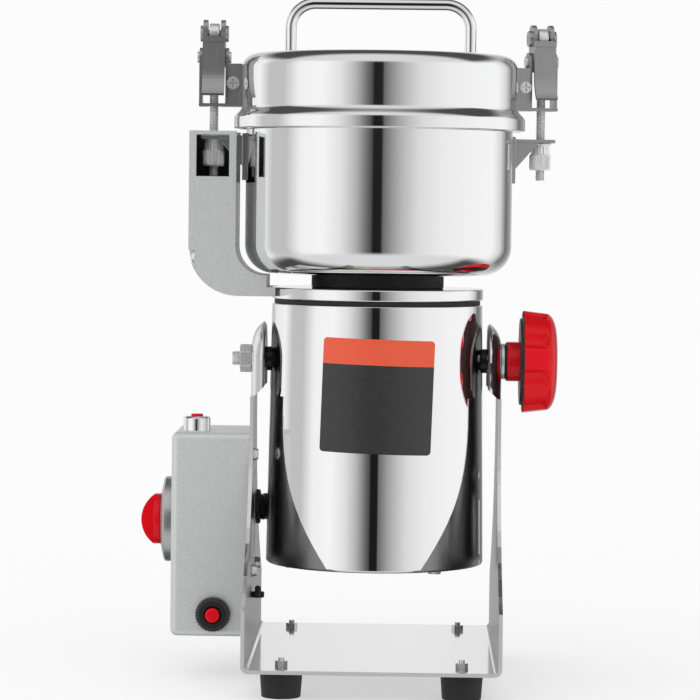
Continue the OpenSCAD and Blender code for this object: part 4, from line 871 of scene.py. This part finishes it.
# The route's points, as in the CAD source
route = [Vector(p) for p in (
    (CONDUIT_LEAVE_X, gland_middle.y, gland_middle.z), (-54.6, 36.6, 87), (-50, 51.5, 86),
    (-39.5, 67, 87.5), (-26, 78, 96), (-17, 83, 112), (-17, 82, 130), (-22, 74, 147),
)]
route.append((entry_r + ENTRY_OUT) * entry_dir + entry_base)


def route_tangent(i):
    if i == 0:
        return (route[1] - route[0]).length * Vector((1, 0, 0))
    if i == len(route) - 1:
        return (route[i] - route[i - 1]).length * -entry_dir
    return (route[i + 1] - route[i - 1]) / 2


def route_at(i, t):
    """A point of the smooth curve from the route's point i, at 0, to the next, at 1."""
    a, b = route[i], route[i + 1]
    return ((2 * t ** 3 - 3 * t ** 2 + 1) * a + (t ** 3 - 2 * t ** 2 + t) * route_tangent(i)
            + (3 * t ** 2 - 2 * t ** 3) * b + (t ** 3 - t ** 2) * route_tangent(i + 1))


def evenly(points, step):
    """Points a step apart along a line of points."""
    out, spare = [points[0]], 0.0
    for a, b in zip(points, points[1:]):
        length = (b - a).length
        at = step - spare
        while at <= length:
            out.append(a.lerp(b, at / length))
            at += step
        spare = length - (at - step)
    return out + [points[-1]]


def conduit_radius(run, a):
    turn = (run / CONDUIT_PITCH - a / (2 * pi)) % 1
    return CONDUIT_R - RIB_DEPTH * (0.5 + 0.5 * cos(2 * pi * turn)) ** RIB_SHARPNESS


spline = [Vector((CONDUIT_FROM_X, gland_middle.y, gland_middle.z))]
spline += [route_at(i, k / SPLINE_STEPS) for i in range(len(route) - 1) for k in range(SPLINE_STEPS)]
spline += [route[-1], (entry_r - ENTRY_IN) * entry_dir + entry_base]
conduit = bmesh.new()
swept(conduit, evenly(spline, CONDUIT_PITCH / RINGS_PER_RIB), conduit_radius, CONDUIT_SIDES)
hose = finish_mesh("conduit_hose", conduit, black_plastic, None, ["wiring_conduit"], sharp=180)
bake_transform(hose)

# Small trim that only the scene shows

BOSS_R, BOSS_SCREW_OUT, BOSS_SCREW_SINK = 6.4, 60.2, 0.5
BOSS_SCREW_R, BOSS_SCREW_H = 2.1, 1.1
BOSS_SCREW_HIGH, BOSS_SCREW_LOW = 1.8, -4.8
CROSS_TURN = 0.4


def cross_screw(bm, matrix, r, h):
    """A domed screw head with a cross recess, standing on matrix's Z = 0."""
    turned(bm, fillet([
        (r, 0), (r, h * 0.35), (r * 0.7, h), (r * 0.62, h), (r * 0.62, h * 0.55), (0, h * 0.5),
    ], [0, 0.2, 0.2, 0, 0, 0], steps=3), matrix, 36)
    for turn in (0, pi / 2):
        block(bm, (-r * 0.6, -r * 0.12, h * 0.5), (r * 0.6, r * 0.12, h * 0.86),
              matrix @ Matrix.Rotation(turn + CROSS_TURN, 4, "Z"))


# Small screws in the front of the pivot bosses
boss_screws = bmesh.new()
for side, up in ((1, BOSS_SCREW_HIGH), (1, BOSS_SCREW_LOW), (-1, BOSS_SCREW_LOW)):
    front_y = BOSS_SCREW_SINK - sqrt(BOSS_R ** 2 - up ** 2)
    cross_screw(boss_screws, along((side * BOSS_SCREW_OUT, front_y, PIVOT_Z + up), (0, -1, 0)),
                BOSS_SCREW_R, BOSS_SCREW_H)
finish_mesh("boss_screws", boss_screws, plated_steel, "head")

# A black nut on the inside of the left arm, with its base against the arm
ARM_NUT_AT = Vector((-61.0, -16, 43.5))
ARM_NUT_OUTLINE = [(0, 0), (3.4, 0), (3.4, 3.0), (1.6, 3.2), (1.6, 5.6), (0, 6.4)]
arm_nut = bmesh.new()
turned(arm_nut, fillet(ARM_NUT_OUTLINE, [0, 0.4, 0.5, 0.3, 0.6, 0]), Matrix.Translation(ARM_NUT_AT), 48)
block(arm_nut, ARM_NUT_AT + Vector((-3.2, -2, 0.5)), ARM_NUT_AT + Vector((0, 2, 2.5)))
finish_mesh("arm_cable_nut", arm_nut, black_plastic, "stand")

# Camera

EYE, AIM = (15.6, -1720, 251), (-14.2, 0, 174)
CAMERA_ROLL = radians(0.7)

scene = bpy.context.scene
camera = bpy.data.objects.new("camera", bpy.data.cameras.new("camera"))
scene.collection.objects.link(camera)
scene.camera = camera
eye, aim = to_frame @ Vector(EYE), to_frame @ Vector(AIM)
camera.matrix_world = (Matrix.Translation(eye) @ (aim - eye).to_track_quat("-Z", "Y").to_matrix().to_4x4()
                       @ Matrix.Rotation(CAMERA_ROLL, 4, "Z"))
camera.data.sensor_width = 36
camera.data.lens = 166.9
camera.data.clip_end = 100

# Light

# The studio as polished metal sees it, by direction in degrees from the camera's side, each with
# its brightness: a dark slit where the camera stands, soft boxes beside it, dark cards behind
STUDIO = [
    (-180, 0.88), (-158, 0.5), (-142, 0.86), (-118, 0.94), (-104, 0.56), (-86, 0.55), (-70, 0.93),
    (-48, 0.98), (-32, 0.80), (-20, 0.50), (-13, 0.26), (-9, 0.14), (-5.6, 0.075), (-4.8, 0.012),
    (2.8, 0.012), (3.6, 0.14), (7, 0.21), (14, 0.37), (22, 0.53), (35, 0.75), (55, 0.88), (85, 0.95),
    (116, 0.97), (130, 0.70), (143, 0.16), (156, 0.32), (180, 0.88),
]
# Overhead and underneath, the studio is plain in front of the zenith and dark behind it
PLAIN, PLAIN_FROM, PLAIN_TO = 0.72, 0.32, 0.6
BEHIND, BEHIND_FROM, BEHIND_TO = 0.07, 0.4, 0.65
ZENITH_FROM, ZENITH_TO = radians(76), radians(104)
WHITE = 0.973
# Plain light for matt surfaces, stronger from the upper left front
KEY_BASE, KEY_SPAN = 0.72, 0.60
key_dir = Vector((-0.45, -0.6, 0.66)).normalized()


def grey(level):
    return (level, level, level, 1)


world = bpy.data.worlds.new("studio")
scene.world = world
world.use_nodes = True
sky = world.node_tree
direction = coordinates(sky, "Generated")
sky_x, sky_y, sky_z = axes_of(sky, direction)
forwards = math_node(sky, "MULTIPLY", sky_y, -1)
azimuth = math_node(sky, "ARCTAN2", sky_x, forwards)
studio = sky.nodes.new("ShaderNodeValToRGB")
ramp = studio.color_ramp
ramp.interpolation = "LINEAR"
for k, (degree, level) in enumerate(STUDIO):
    stop = ramp.elements[k] if k < 2 else ramp.elements.new(1.0)
    stop.position = degree / 360 + 0.5
    stop.color = grey(level)
sky.links.new(math_node(sky, "MULTIPLY_ADD", azimuth, 1 / (2 * pi), 0.5), studio.inputs["Fac"])

steepness = math_node(sky, "ABSOLUTE", sky_z)
plain = ramped(sky, steepness, PLAIN_FROM, PLAIN_TO, smooth=True)
reflected = mixed(sky, plain, studio.outputs["Color"], grey(PLAIN))
past_zenith = math_node(sky, "ARCTAN2", steepness, forwards)
behind = math_node(sky, "MULTIPLY", ramped(sky, past_zenith, ZENITH_FROM, ZENITH_TO, smooth=True),
                   ramped(sky, steepness, BEHIND_FROM, BEHIND_TO, smooth=True))
reflected = mixed(sky, behind, reflected, grey(BEHIND))

key = sky.nodes.new("ShaderNodeVectorMath")
key.operation = "DOT_PRODUCT"
key.inputs[1].default_value = key_dir
sky.links.new(direction, key.inputs[0])
key_level = math_node(sky, "MULTIPLY_ADD", key.outputs["Value"], KEY_SPAN, KEY_BASE)
rays = sky.nodes.new("ShaderNodeLightPath")
matt = mixed(sky, rays.outputs["Is Camera Ray"], key_level, grey(WHITE))
sky.links.new(mixed(sky, rays.outputs["Is Glossy Ray"], matt, reflected),
              sky.nodes["Background"].inputs["Color"])

# A white floor that takes the object's shadow. Polished metal sees the studio through it

FLOOR_HALF = 12
SHADOW_SHARE = 0.5
# Share of the key's slope that reaches a level floor, from all the sky together
SLOPE_SHARE = 2 / 3

floor_mesh = bpy.data.meshes.new("floor")
floor_mesh.from_pydata([(FLOOR_HALF * x, FLOOR_HALF * y, 0) for x, y in ((-1, -1), (1, -1), (1, 1), (-1, 1))],
                       [], [(0, 1, 2, 3)])
floor_material = bpy.data.materials.new("floor_white")
floor_tree, unused_shader = nodes_of(floor_material)
floor_tree.nodes.remove(unused_shader)
made, links = floor_tree.nodes, floor_tree.links
# Light that falls on the open floor, and the share of the floor's light that a shadow can take
floor_light = KEY_BASE + KEY_SPAN * key_dir.z * SLOPE_SHARE
matt_floor = made.new("ShaderNodeBsdfDiffuse")
matt_floor.inputs["Color"].default_value = grey(SHADOW_SHARE * WHITE / floor_light)
own_light = made.new("ShaderNodeEmission")
own_light.inputs["Strength"].default_value = (1 - SHADOW_SHARE) * WHITE
lit_floor = made.new("ShaderNodeAddShader")
links.new(matt_floor.outputs["BSDF"], lit_floor.inputs[0])
links.new(own_light.outputs["Emission"], lit_floor.inputs[1])
choice = made.new("ShaderNodeMixShader")
links.new(made.new("ShaderNodeLightPath").outputs["Is Glossy Ray"], choice.inputs["Fac"])
links.new(lit_floor.outputs["Shader"], choice.inputs[1])
links.new(made.new("ShaderNodeBsdfTransparent").outputs["BSDF"], choice.inputs[2])
links.new(choice.outputs["Shader"], made["Material Output"].inputs["Surface"])
floor_mesh.materials.append(floor_material)
floor = bpy.data.objects.new("floor", floor_mesh)
scene.collection.objects.link(floor)

scene.view_settings.view_transform = "Standard"
